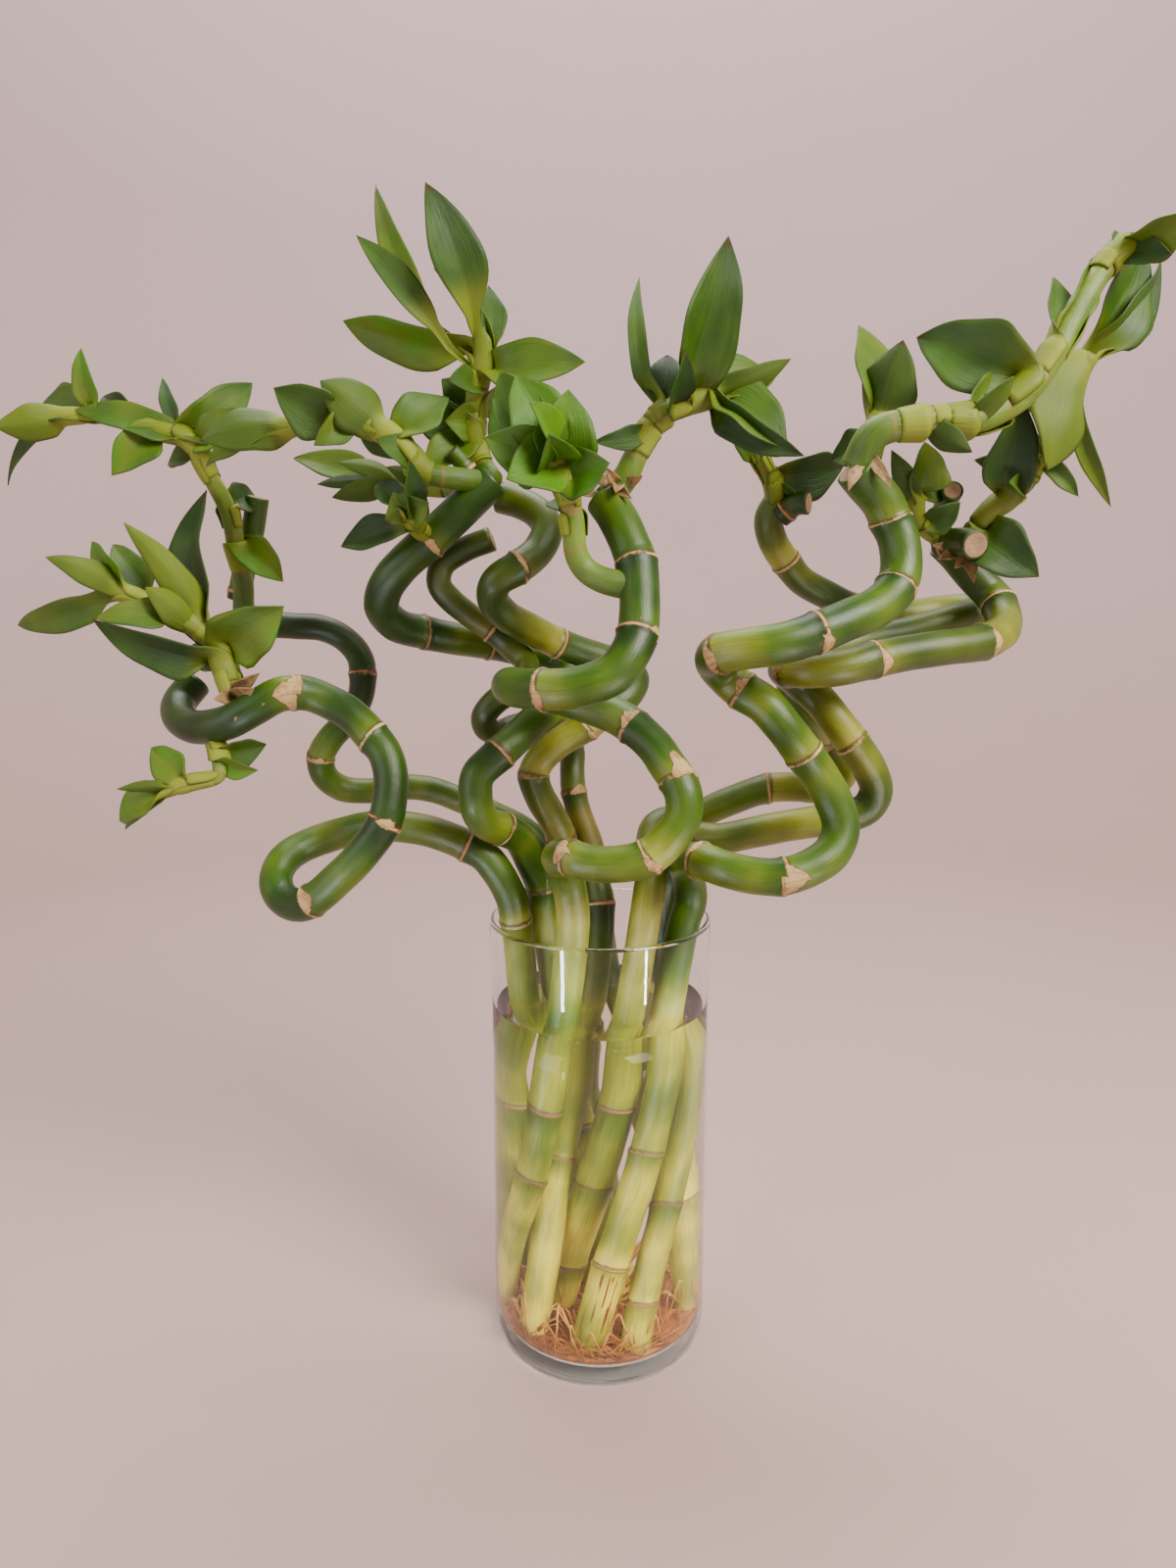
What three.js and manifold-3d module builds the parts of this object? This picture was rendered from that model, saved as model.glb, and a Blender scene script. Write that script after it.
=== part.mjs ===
// Lucky bamboo: nine curled canes with leafy shoots, standing in a clear glass
// cylinder vase with water and a mat of roots. Millimetres, +Z up, seen from -Y.
// The origin is the middle of the vase's foot, on the table.

import * as THREE from 'three';
import { mergeVertices } from 'three/addons/utils/BufferGeometryUtils.js';
import Module from 'manifold-3d';

const wasm = await Module();
wasm.setup();

// Driving dimensions
const vaseDiameter = 100;
const vaseHeight = 200;
const glassThickness = 2.7;
const baseThickness = 8;
const waterLevel = 160;
const gap = 0.3;
const vaseSides = 32;
const sliverSize = 0.05;

// Canes: a ring of bark stands proud at each node
const caneSides = 7;
const ringSwell = 0.45;
const ringHalfWidth = 2;
const longestStep = 30;
const sharpestTurn = THREE.MathUtils.degToRad(33);

// Leaves: thin blades, folded along the midrib
const bladeThickness = 0.7;
const bladeRows = 3;
const foldSlope = 0.24;
const archRatio = 0.07;
const stemSides = 6;
const stemStep = 14;

// Roots
const matRadius = 43;
const matThickness = 3;
const rootReach = 15;
const rootRadius = 0.9;
const rootsPerCane = 3;
const rootSides = 4;

const insideRadius = vaseDiameter / 2 - glassThickness;
const floorHeight = baseThickness + gap;

// Materials, one for each colour of the real thing
const glass = new THREE.MeshStandardMaterial({
  color: 0xe8efec, roughness: 0.04, metalness: 0, transparent: true, opacity: 0.35,
});
const clearWater = new THREE.MeshStandardMaterial({
  color: 0xe6ead8, roughness: 0.02, metalness: 0, transparent: true, opacity: 0.3,
});
const darkCane = new THREE.MeshStandardMaterial({ color: 0x3f6b22, roughness: 0.35, metalness: 0 });
const oliveCane = new THREE.MeshStandardMaterial({ color: 0x7c8a35, roughness: 0.4, metalness: 0 });
const leafGreen = new THREE.MeshStandardMaterial({ color: 0x5f8f2c, roughness: 0.45, metalness: 0 });
const rootOrange = new THREE.MeshStandardMaterial({ color: 0xb9683c, roughness: 0.7, metalness: 0 });

// A cane's route runs from its foot on the vase's floor to its cut top.
// A point that ends in ring has a node ring round it.
const ring = true;

const canes = [
  {
    name: 'cane_left_front',
    radii: [7.0, 7.3],
    material: darkCane,
    route: [
      [-22, 22, 5], [-25, 14, 60], [-29, 8, 110, ring], [-34, 2, 150], [-38, -4, 199],
      [-40, -5, 210], [-47, -5, 223], [-52, -5, 229], [-59, -5, 233, ring], [-68, -5, 237],
      [-79, -3, 240], [-91, 0, 241], [-108, 6, 239], [-123, 6, 235], [-135, 0, 231],
      [-141, -8, 226], [-142, -14, 220], [-138, -20, 214], [-130, -26, 212], [-122, -30, 215, ring],
      [-110, -33, 225], [-100, -33, 235], [-90, -31, 249, ring], [-88, -28, 259], [-88, -25, 268],
      [-91, -22, 277], [-96, -20, 283, ring], [-105, -18, 292], [-113, -17, 297], [-122, -18, 301],
      [-128, -20, 302, ring], [-135, -22, 301], [-144, -24, 296], [-153, -24, 291], [-163, -20, 288],
      [-175, -12, 287], [-184, -3, 290], [-188, 7, 296], [-184, 15, 304],
    ],
  },
  {
    name: 'cane_left_back',
    radii: [6.6, 6.3],
    material: darkCane,
    route: [
      [34, -6, 5], [26, 7, 60, ring], [18, 20, 90], [6, 32, 150, ring], [-2, 37, 195], [-9, 38, 210],
      [-24, 40, 220], [-37, 42, 231], [-51, 44, 238], [-68, 46, 245], [-83, 48, 250],
      [-99, 50, 251, ring], [-115, 50, 249], [-127, 46, 251], [-134, 42, 258], [-135, 40, 267, ring],
      [-130, 40, 276], [-122, 42, 285], [-116, 46, 296], [-115, 48, 307, ring], [-117, 50, 316],
      [-124, 50, 324], [-134, 48, 329], [-147, 45, 330], [-157, 42, 331], [-168, 39, 335],
    ],
  },
  {
    name: 'cane_left_curl',
    radii: [6.9, 7.7],
    material: darkCane,
    route: [
      [4, 14, 5], [-2, 15, 60], [-8, 14, 100, ring], [-18, 12, 150], [-25, 9, 189], [-27, 9, 199],
      [-27, 8, 211, ring], [-31, 4, 223], [-36, -3, 236], [-43, -11, 242, ring], [-49, -18, 246],
      [-52, -22, 252], [-53, -23, 259], [-52, -22, 267], [-43, -17, 276, ring], [-34, -10, 284],
      [-25, -2, 292], [-16, 15, 299], [-11, 31, 305], [-14, 43, 312], [-25, 46, 316],
      [-39, 41, 319], [-52, 34, 322, ring], [-66, 26, 324], [-80, 19, 327, ring], [-90, 10, 330],
      [-95, 2, 337], [-92, -4, 346], [-84, -8, 355], [-72, -10, 365, ring], [-63, -10, 373],
      [-53, -8, 383], [-46, -6, 390],
    ],
  },
  {
    name: 'cane_middle_olive',
    radii: [6.9, 6.9],
    material: oliveCane,
    route: [
      [3, 35, 5], [0, 33, 50], [-5, 31, 100, ring], [-12, 27, 150], [-17, 25, 200], [-20, 23, 210],
      [-19, 17, 222], [-18, 11, 234, ring], [-22, 8, 244], [-27, 7, 253], [-30, 7, 263, ring],
      [-27, 8, 270], [-18, 9, 278], [-6, 11, 285, ring], [4, 13, 293], [13, 18, 299], [16, 25, 306],
      [10, 30, 312], [-2, 27, 316], [-19, 19, 322, ring], [-32, 10, 329], [-41, 2, 334],
      [-46, -5, 341], [-44, -10, 348], [-35, -9, 354, ring], [-27, -3, 361], [-23, 3, 371],
      [-27, 8, 378], [-35, 13, 383], [-44, 16, 386],
    ],
  },
  {
    name: 'cane_brown_back',
    radii: [6.5, 5.4],
    material: oliveCane,
    route: [
      [-28, -23, 5], [-20, -14, 50], [-15, -4, 90, ring], [-4, 2, 150], [1, 10, 202, ring],
      [-1, 13, 211], [-4, 19, 228], [-9, 23, 241], [-12, 26, 252, ring], [-13, 30, 263],
      [-13, 35, 272], [-18, 37, 282], [-29, 29, 286], [-39, 20, 284], [-46, 13, 282], [-51, 5, 285],
      [-51, 0, 291], [-46, -1, 297], [-38, 2, 302], [-34, 7, 306], [-33, 14, 313], [-40, 17, 320],
      [-49, 16, 328, ring], [-59, 14, 335], [-66, 11, 341], [-71, 8, 348], [-69, 6, 356],
      [-60, 5, 362], [-47, 4, 367],
    ],
  },
  {
    name: 'cane_front_spiral',
    radii: [7.0, 7.8],
    material: darkCane,
    route: [
      [-36, 3, 5], [-35, -12, 51], [-28, -24, 88, ring], [-22, -26, 122, ring], [-12, -22, 199],
      [-12, -22, 209], [-14, -23, 221], [-17, -29, 231], [-17, -40, 236], [-12, -50, 238, ring],
      [-5, -54, 237], [6, -56, 237], [18, -57, 240, ring], [27, -56, 248], [32, -54, 256],
      [32, -52, 264], [30, -50, 269, ring], [26, -46, 275], [21, -41, 282], [13, -36, 289, ring],
      [4, -30, 294], [-9, -25, 298], [-22, -24, 302], [-32, -30, 305], [-36, -43, 306],
      [-32, -57, 306], [-22, -66, 306, ring], [-9, -70, 307], [4, -69, 312], [10, -66, 319],
      [13, -62, 326, ring], [14, -58, 335], [14, -54, 344], [13, -50, 353, ring], [9, -46, 364],
      [5, -42, 372], [1, -39, 378],
    ],
  },
  {
    name: 'cane_middle_right',
    radii: [7.0, 6.6],
    material: oliveCane,
    route: [
      [-16, 5, 5], [-11, 0, 38, ring], [-2, -8, 80, ring], [6, -14, 119, ring], [11, -19, 150],
      [18, -22, 196], [20, -20, 209], [22, -14, 220], [23, -4, 225], [23, 6, 231], [26, 15, 238],
      [32, 19, 240], [44, 19, 242], [59, 17, 249], [77, 14, 256, ring], [91, 12, 257], [99, 9, 257],
      [108, 6, 262], [109, 2, 270], [103, 1, 279, ring], [93, 3, 290], [86, 6, 299], [87, 12, 307],
      [93, 16, 313], [106, 18, 319], [121, 20, 323], [135, 21, 326], [152, 23, 330], [165, 25, 334],
      [177, 31, 336], [183, 42, 338], [178, 53, 339], [166, 57, 338], [149, 54, 336], [133, 48, 337],
      [118, 43, 340], [106, 39, 345], [94, 35, 351], [86, 31, 359, ring], [79, 27, 368],
      [76, 23, 377], [79, 20, 384],
    ],
  },
  {
    name: 'cane_right_far',
    radii: [6.6, 7.4],
    material: oliveCane,
    route: [
      [14, -34, 5], [17, -27, 30, ring], [25, -14, 70, ring], [29, -5, 95], [33, 8, 150],
      [31, 15, 190], [33, 16, 202], [35, 16, 211], [37, 13, 221], [42, 7, 230], [46, 2, 235, ring],
      [54, -3, 236], [73, -8, 241], [90, -12, 245], [106, -14, 248], [115, -15, 252],
      [118, -17, 260], [114, -19, 270], [106, -21, 281, ring], [98, -21, 291], [92, -18, 299],
      [84, -17, 306], [77, -22, 311], [76, -31, 312], [83, -39, 312], [95, -41, 313],
      [108, -38, 316, ring], [125, -33, 319], [142, -29, 321], [157, -23, 323, ring],
      [169, -13, 327], [174, -3, 332], [175, 6, 339, ring], [172, 11, 345], [165, 12, 352],
      [157, 12, 361], [151, 11, 366],
    ],
  },
  {
    name: 'cane_right_front',
    radii: [7.0, 8.0],
    material: darkCane,
    route: [
      [-7, -33, 5], [4, -30, 50, ring], [18, -23, 100, ring], [28, -15, 150], [38, -4, 198],
      [41, -2, 207], [40, -4, 217], [38, -10, 224], [37, -24, 231], [41, -37, 234, ring],
      [48, -45, 233], [60, -50, 231], [72, -52, 231, ring], [83, -50, 234], [93, -46, 240],
      [97, -42, 249], [94, -40, 260], [88, -40, 270], [81, -42, 279, ring], [72, -45, 290],
      [64, -44, 299], [56, -41, 304, ring], [49, -40, 310], [44, -46, 316], [45, -56, 319],
      [54, -62, 321], [67, -64, 323], [80, -61, 327, ring], [94, -56, 332], [106, -50, 337],
      [114, -44, 344, ring], [117, -40, 353], [116, -38, 363], [113, -37, 370, ring],
      [109, -38, 377], [102, -40, 384], [97, -42, 389],
    ],
  },
];

// A shoot is a leafy stem. Each leaf leaves the stem some way along it (0 at the
// cane, 1 at the tip), reaches to its own tip, and has a width and a turn about
// its length: 0 shows its face to the front, 90 shows its edge.
const leaf = (along, tip, width, turn) => ({ along, tip, width, turn });

const shoots = [
  {
    name: 'shoot_left_long',
    radii: [5.0, 2.5],
    stem: [[-49, -7, 389], [-59, -17, 389], [-72, -22, 391], [-82, -24, 403], [-96, -24, 410],
      [-113, -22, 410], [-129, -20, 408]],
    leaves: [
      leaf(0.44, [-62, -14, 422], 18, -15), leaf(0.51, [-108, -36, 423], 18, 20),
      leaf(0.73, [-127, -34, 420], 18, -24), leaf(0.63, [-85, -12, 397], 8, 40),
      leaf(0.97, [-166, -8, 396], 10, 30), leaf(0.97, [-156, -26, 401], 14, 18),
      leaf(0.85, [-122, 4, 427], 12, 70),
    ],
  },
  {
    name: 'shoot_left_wave',
    radii: [5.0, 2.2],
    stem: [[-168, 38, 336], [-165, 31, 350], [-165, 26, 362], [-167, 22, 381], [-173, 16, 397],
      [-177, 12, 408], [-192, 10, 414], [-211, 8, 419], [-231, 6, 418]],
    leaves: [
      leaf(0.62, [-154, 26, 437], 13, 18), leaf(0.64, [-192, 20, 438], 5, 20),
      leaf(0.62, [-143, 19, 412], 11, -20), leaf(0.68, [-208, 0, 393], 15, -12),
      leaf(0.77, [-221, 24, 431], 9, 20), leaf(0.87, [-219, 3, 445], 10, -15),
      leaf(0.89, [-248, 20, 425], 20, 32), leaf(0.97, [-252, -7, 411], 14, -24),
      leaf(0.94, [-269, 25, 393], 6, 20), leaf(0.25, [-143, 19, 350], 15, -20),
      leaf(0.37, [-160, 40, 390], 14, 18), leaf(0.53, [-195, 26, 402], 9, 20),
    ],
  },
  {
    name: 'shoot_left_tip',
    radii: [5.5, 2.2],
    stem: [[-151, -20, 293], [-157, -13, 304], [-161, -9, 314], [-163, -10, 322], [-174, -14, 332], [-187, -16, 339],
      [-200, -16, 344]],
    leaves: [
      leaf(0.42, [-176, 14, 390], 28, -30), leaf(0.38, [-131, -22, 337], 24, 22),
      leaf(0.54, [-183, -30, 345], 13, 30), leaf(0.67, [-203, -33, 333], 12, 20),
      leaf(0.92, [-262, 10, 329], 12, -15), leaf(0.93, [-225, -26, 358], 11, 32),
      leaf(0.92, [-216, -7, 365], 13, -24), leaf(0.77, [-212, 4, 366], 12, 26),
      leaf(0.25, [-184, 4, 320], 10, 20), leaf(0.46, [-192, -27, 371], 12, 18),
      leaf(0.34, [-163, 24, 329], 14, 50),
    ],
  },
  {
    name: 'shoot_left_low',
    radii: [4.0, 2.0],
    stem: [[-167, -17, 287], [-161, -22, 276], [-160, -26, 268], [-171, -28, 265], [-182, -28, 262]],
    leaves: [
      leaf(0.72, [-191, -19, 279], 13, 12), leaf(0.86, [-199, -35, 263], 4, -15),
      leaf(0.95, [-205, -23, 248], 14, 32), leaf(0.80, [-207, -16, 243], 8, 30),
      leaf(0.25, [-144, -11, 279], 12, 26), leaf(0.35, [-143, -28, 270], 8, 20),
    ],
  },
  {
    name: 'shoot_curl_side',
    radii: [3.6, 2.0],
    stem: [[-71, -12, 366], [-76, -24, 371], [-78, -30, 377]],
    leaves: [
      leaf(0.42, [-110, -10, 363], 13, 22), leaf(0.69, [-82, -34, 381], 15, -12),
      leaf(0.79, [-68, -36, 377], 13, 12), leaf(0.90, [-91, -22, 387], 10, 20),
      leaf(0.66, [-74, -38, 393], 9, 50),
    ],
  },
  {
    name: 'shoot_curl_tip',
    radii: [4.2, 2.0],
    stem: [[-50, -5, 386], [-57, 6, 387], [-70, 12, 389], [-85, 16, 392], [-97, 18, 392]],
    leaves: [
      leaf(0.92, [-141, 33, 407], 13, 26), leaf(0.80, [-113, 6, 400], 8, 30),
      leaf(0.97, [-123, 8, 391], 6, 18), leaf(0.84, [-116, 6, 384], 10, -30),
      leaf(0.59, [-91, 2, 397], 7, 20), leaf(0.67, [-80, 22, 373], 9, 20),
    ],
  },
  {
    name: 'shoot_top_left',
    radii: [5.2, 2.6],
    stem: [[-46, -5, 390], [-51, 2, 399], [-54, 2, 411], [-52, 0, 427], [-48, -2, 442], [-49, -4, 451]],
    leaves: [
      leaf(0.89, [-100, 25, 520], 14, -20), leaf(0.94, [-95, -22, 481], 15, 18),
      leaf(0.88, [-111, 9, 457], 17, -30), leaf(0.98, [-66, -30, 496], 24, 22),
      leaf(0.92, [-71, 12, 481], 8, 20), leaf(0.84, [-47, 8, 472], 10, 20),
      leaf(0.70, [-7, -14, 436], 20, -15), leaf(0.64, [-61, -18, 427], 12, 20),
      leaf(0.44, [-64, -10, 413], 15, -24), leaf(0.52, [-40, 26, 431], 14, 50),
    ],
  },
  {
    name: 'shoot_centre',
    radii: [5.4, 3.4],
    stem: [[11, -54, 344], [-1, -54, 347], [-7, -54, 351], [-10, -55, 357], [-11, -56, 369], [-14, -58, 380],
      [-19, -60, 390]],
    leaves: [
      leaf(0.89, [-40, -43, 424], 24, -30), leaf(0.94, [-13, -67, 412], 20, 22),
      leaf(0.84, [2, -66, 387], 18, -12), leaf(0.92, [-36, -74, 381], 19, 12),
      leaf(0.96, [-41, -68, 403], 18, -15), leaf(0.98, [-25, -84, 407], 14, 60),
      leaf(0.88, [-10, -36, 405], 15, 30), leaf(0.64, [-20, -44, 377], 8, 30),
    ],
  },
  {
    name: 'shoot_top_middle',
    radii: [5.6, 3.0],
    stem: [[2, -39, 378], [9, -40, 386], [13, -40, 394], [20, -40, 406], [30, -40, 412], [40, -38, 416]],
    leaves: [
      leaf(0.60, [14, -20, 467], 9, -15), leaf(0.79, [46, -58, 466], 31, 32),
      leaf(0.69, [25, -30, 434], 13, -24), leaf(0.96, [46, -20, 448], 13, 40),
      leaf(0.94, [69, -25, 427], 17, -20), leaf(0.98, [71, -45, 428], 9, 18),
      leaf(0.97, [69, -52, 395], 23, -30), leaf(0.98, [74, -55, 391], 12, 30),
      leaf(0.55, [-3, -52, 397], 7, -12), leaf(0.68, [30, -62, 426], 12, 60),
    ],
  },
  {
    name: 'shoot_right_back',
    radii: [4.4, 2.2],
    stem: [[78, 20, 384], [74, 11, 393], [67, 6, 403], [62, 4, 412]],
    leaves: [
      leaf(0.41, [109, 21, 399], 20, 32), leaf(0.62, [56, -2, 417], 12, -24),
      leaf(0.66, [80, 16, 416], 11, 20), leaf(0.87, [53, 12, 425], 9, 30),
      leaf(0.33, [92, 22, 381], 10, 40), leaf(0.83, [68, 24, 432], 10, 40),
    ],
  },
  {
    name: 'shoot_right_pair',
    radii: [3.6, 2.5],
    stem: [[104, -38, 382], [106, -31, 392], [109, -24, 404], [111, -20, 413]],
    leaves: [
      leaf(0.82, [106, -8, 452], 17, 18), leaf(0.88, [116, -31, 439], 21, -30),
      leaf(0.97, [116, -8, 443], 5, 22), leaf(0.64, [94, -14, 397], 13, 20),
    ],
  },
  {
    name: 'shoot_right_long',
    radii: [6.2, 3.0],
    stem: [[97, -42, 389], [103, -46, 401], [120, -46, 405], [143, -44, 407], [160, -42, 417],
      [172, -38, 432], [182, -34, 450], [194, -30, 467], [204, -28, 475]],
    leaves: [
      leaf(0.51, [123, -25, 442], 34, -20), leaf(0.63, [176, -26, 464], 12, 18),
      leaf(0.70, [194, -20, 473], 10, 20), leaf(0.31, [152, -36, 426], 12, 22),
      leaf(0.33, [150, -56, 419], 7, 20), leaf(0.43, [120, -30, 402], 7, 30),
      leaf(0.92, [199, -24, 481], 7, 20), leaf(0.97, [215, -52, 478], 14, 32),
      leaf(0.21, [135, -58, 392], 9, 40), leaf(0.97, [210, -44, 465], 10, 20),
    ],
  },
  {
    name: 'shoot_right_side',
    radii: [4.2, 2.4],
    stem: [[162, 10, 356], [159, 2, 368], [164, -4, 377], [177, -8, 388], [182, -12, 404], [188, -14, 423],
      [197, -14, 438]],
    leaves: [
      leaf(0.96, [179, -28, 391], 31, -24), leaf(0.97, [223, -4, 483], 27, 26),
      leaf(0.98, [231, -3, 478], 16, 30), leaf(0.83, [220, 2, 379], 6, 18),
      leaf(0.53, [160, 6, 400], 7, -30), leaf(0.57, [196, -16, 382], 6, 22),
      leaf(0.32, [168, -24, 417], 19, -12), leaf(0.20, [182, -16, 350], 21, 12),
      leaf(0.40, [165, -22, 387], 9, 20), leaf(0.74, [182, 14, 422], 12, 50),
    ],
  },
  {
    name: 'shoot_right_inner',
    radii: [3.4, 2.0],
    stem: [[150, 11, 366], [143, 4, 369], [134, -3, 376], [131, -8, 386]],
    leaves: [
      leaf(0.85, [133, -14, 404], 19, 22), leaf(0.80, [117, -22, 399], 9, -12),
      leaf(0.50, [149, -12, 380], 11, 12), leaf(0.55, [153, 8, 377], 10, 30),
      leaf(0.88, [149, 6, 397], 11, 30),
    ],
  },
];

// A closed mesh becomes a solid once its shared corners are one
function solidOf(geometry) {
  const bare = geometry.clone();
  bare.deleteAttribute('normal');
  bare.deleteAttribute('uv');
  const welded = mergeVertices(bare, 0.001);
  const corners = [];
  for (let i = 0; i < welded.index.count; i += 3) {
    const [a, b, c] = [0, 1, 2].map((k) => welded.index.getX(i + k));
    if (a !== b && b !== c && c !== a) corners.push(a, b, c);
  }
  return new wasm.Manifold(new wasm.Mesh({
    numProp: 3,
    vertProperties: Float32Array.from(welded.attributes.position.array),
    triVerts: Uint32Array.from(corners),
  }));
}

function geometryOf(solid) {
  const mesh = solid.getMesh();
  const geometry = new THREE.BufferGeometry();
  geometry.setAttribute('position', new THREE.BufferAttribute(mesh.vertProperties, 3));
  geometry.setIndex(new THREE.BufferAttribute(mesh.triVerts, 1));
  geometry.computeVertexNormals();
  return geometry;
}

// Loose scraps are dropped, and slivers left by the cuts are merged
function largestPiece(solid) {
  const pieces = solid.decompose();
  const largest = pieces.reduce((best, piece) => (
    piece.volume() > best.volume() ? piece : best
  ));
  return largest.asOriginal().simplify(sliverSize);
}

const vectorOf = ([x, y, z]) => new THREE.Vector3(x, y, z);

const smoothCurve = (route) => (
  new THREE.CatmullRomCurve3(route.map(vectorOf), false, 'centripetal')
);

// How far along the curve each point of its route lies
function routeLengths(curve) {
  const looksPerSpan = 20;
  const lengths = curve.getLengths((curve.points.length - 1) * looksPerSpan);
  return curve.points.map((_, i) => lengths[i * looksPerSpan]);
}

// Distances for a cane's cross-sections: close together in the bends, further
// apart on the straight, and three at each node ring
function caneDistances(curve, ringsAt) {
  const total = curve.getLength();
  const nearRing = (s) => ringsAt.some((at) => Math.abs(s - at) < 2.5 * ringHalfWidth);
  const distances = [0, total];
  for (const at of ringsAt) distances.push(at - ringHalfWidth, at, at + ringHalfWidth);
  let lastAt = 0;
  let lastHeading = curve.getTangentAt(0);
  for (let s = 1; s < total - 2; s += 1) {
    const heading = curve.getTangentAt(s / total);
    const turned = heading.angleTo(lastHeading);
    if (nearRing(s)) {
      lastAt = s;
      lastHeading = heading;
    } else if (turned > sharpestTurn || s - lastAt > longestStep) {
      distances.push(s);
      lastAt = s;
      lastHeading = heading;
    }
  }
  return distances.sort((a, b) => a - b);
}

// Cross-sections along a curve, each turned as little as possible from the last
function sectionsAlong(curve, distances, radiusAt) {
  const total = curve.getLength();
  const sections = [];
  const heading = curve.getTangentAt(0);
  const side = new THREE.Vector3(0, 1, 0).cross(heading);
  if (side.length() < 0.1) side.set(1, 0, 0);
  side.addScaledVector(heading, -side.dot(heading)).normalize();
  let last = heading;
  for (const s of distances) {
    const u = Math.min(Math.max(s / total, 0), 1);
    const now = curve.getTangentAt(u);
    side.applyQuaternion(new THREE.Quaternion().setFromUnitVectors(last, now)).normalize();
    last = now;
    sections.push({
      centre: curve.getPointAt(u),
      heading: now,
      side: side.clone(),
      up: side.clone().cross(now),
      radius: radiusAt(s, u),
    });
  }
  return sections;
}

// A closed tube: a cylinder whose rows of corners are moved onto the sections
function tubeThrough(sections, sides) {
  const rows = sections.length - 1;
  const tube = new THREE.CylinderGeometry(1, 1, rows, sides, rows);
  const corners = tube.attributes.position;
  for (let i = 0; i < corners.count; i += 1) {
    const section = sections[Math.round(corners.getY(i) + rows / 2)];
    const place = section.centre.clone()
      .addScaledVector(section.side, corners.getX(i) * section.radius)
      .addScaledVector(section.up, corners.getZ(i) * section.radius);
    corners.setXYZ(i, place.x, place.y, place.z);
  }
  return solidOf(tube);
}

// A cane, or the room it takes with some extra all round and past both ends
function caneTube(cane, extra) {
  const curve = smoothCurve(cane.route);
  const lengths = routeLengths(curve);
  const ringsAt = lengths.filter((_, i) => cane.route[i][3]);
  const [footRadius, tipRadius] = cane.radii;
  const isRing = (s) => ringsAt.some((at) => Math.abs(s - at) < 0.01);
  const sections = sectionsAlong(curve, caneDistances(curve, ringsAt), (s, u) => (
    THREE.MathUtils.lerp(footRadius, tipRadius, u) + (isRing(s) ? ringSwell : 0) + extra
  ));
  const first = sections[0];
  const last = sections[sections.length - 1];
  first.centre.addScaledVector(first.heading, -extra);
  last.centre.addScaledVector(last.heading, extra);
  return tubeThrough(sections, caneSides);
}

// A blade from its base on the stem's axis to its tip
function bladeSolid(base, tip, width, turn) {
  const axis = tip.clone().sub(base);
  const length = axis.length();
  axis.normalize();
  const face = new THREE.Vector3(0, -1, 0);
  face.addScaledVector(axis, -face.dot(axis)).normalize();
  face.applyAxisAngle(axis, THREE.MathUtils.degToRad(turn));
  const across = axis.clone().cross(face);

  const sheet = new THREE.PlaneGeometry(1, 1, 2, bladeRows);
  const corners = sheet.attributes.position;
  const middle = [];
  for (let i = 0; i < corners.count; i += 1) {
    const along = corners.getY(i) + 0.5;
    const halfWidth = (width / 2) * bladeOutline(along);
    const outward = corners.getX(i) * 2;
    const rise = archRatio * length * Math.sin(Math.PI * along);
    middle.push(base.clone()
      .addScaledVector(axis, length * along)
      .addScaledVector(across, outward * halfWidth)
      .addScaledVector(face, rise + foldSlope * Math.abs(outward) * halfWidth));
  }
  return solidOf(thickened(sheet, middle, face));
}

// Half-clasping at the base, widest a third of the way up, drawn out to a point
function bladeOutline(along) {
  return 0.8 * Math.sin(Math.PI * along ** 0.8) + 0.4 * (1 - along);
}

// Two copies of a sheet, alike in their triangles, joined round the edge
function thickened(sheet, middle, face) {
  const half = face.clone().multiplyScalar(bladeThickness / 2);
  const places = [];
  for (const point of middle) places.push(...point.clone().add(half).toArray());
  for (const point of middle) places.push(...point.clone().sub(half).toArray());
  const count = middle.length;
  const triangles = [];
  const edges = new Map();
  for (let i = 0; i < sheet.index.count; i += 3) {
    const corners = [0, 1, 2].map((k) => sheet.index.getX(i + k));
    const [a, b, c] = corners;
    triangles.push(a, b, c, count + a, count + c, count + b);
    for (let k = 0; k < 3; k += 1) {
      const from = corners[k];
      const to = corners[(k + 1) % 3];
      if (edges.has(`${to},${from}`)) edges.delete(`${to},${from}`);
      else edges.set(`${from},${to}`, [from, to]);
    }
  }
  for (const [from, to] of edges.values()) {
    triangles.push(to, from, count + from, to, count + from, count + to);
  }
  const blade = new THREE.BufferGeometry();
  blade.setAttribute('position', new THREE.Float32BufferAttribute(places, 3));
  blade.setIndex(triangles);
  return blade;
}

function shootSolid(shoot, caneRoom) {
  const curve = smoothCurve(shoot.stem);
  const total = curve.getLength();
  const steps = Math.max(2, Math.round(total / stemStep));
  const distances = Array.from({ length: steps + 1 }, (_, i) => (total * i) / steps);
  const [baseRadius, tipRadius] = shoot.radii;
  let solid = tubeThrough(
    sectionsAlong(curve, distances, (s, u) => THREE.MathUtils.lerp(baseRadius, tipRadius, u)),
    stemSides,
  );
  for (const { along, tip, width, turn } of shoot.leaves) {
    solid = solid.add(bladeSolid(curve.getPointAt(along), vectorOf(tip), width, turn));
  }
  for (const room of caneRoom) solid = solid.subtract(room);
  return largestPiece(solid);
}

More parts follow.
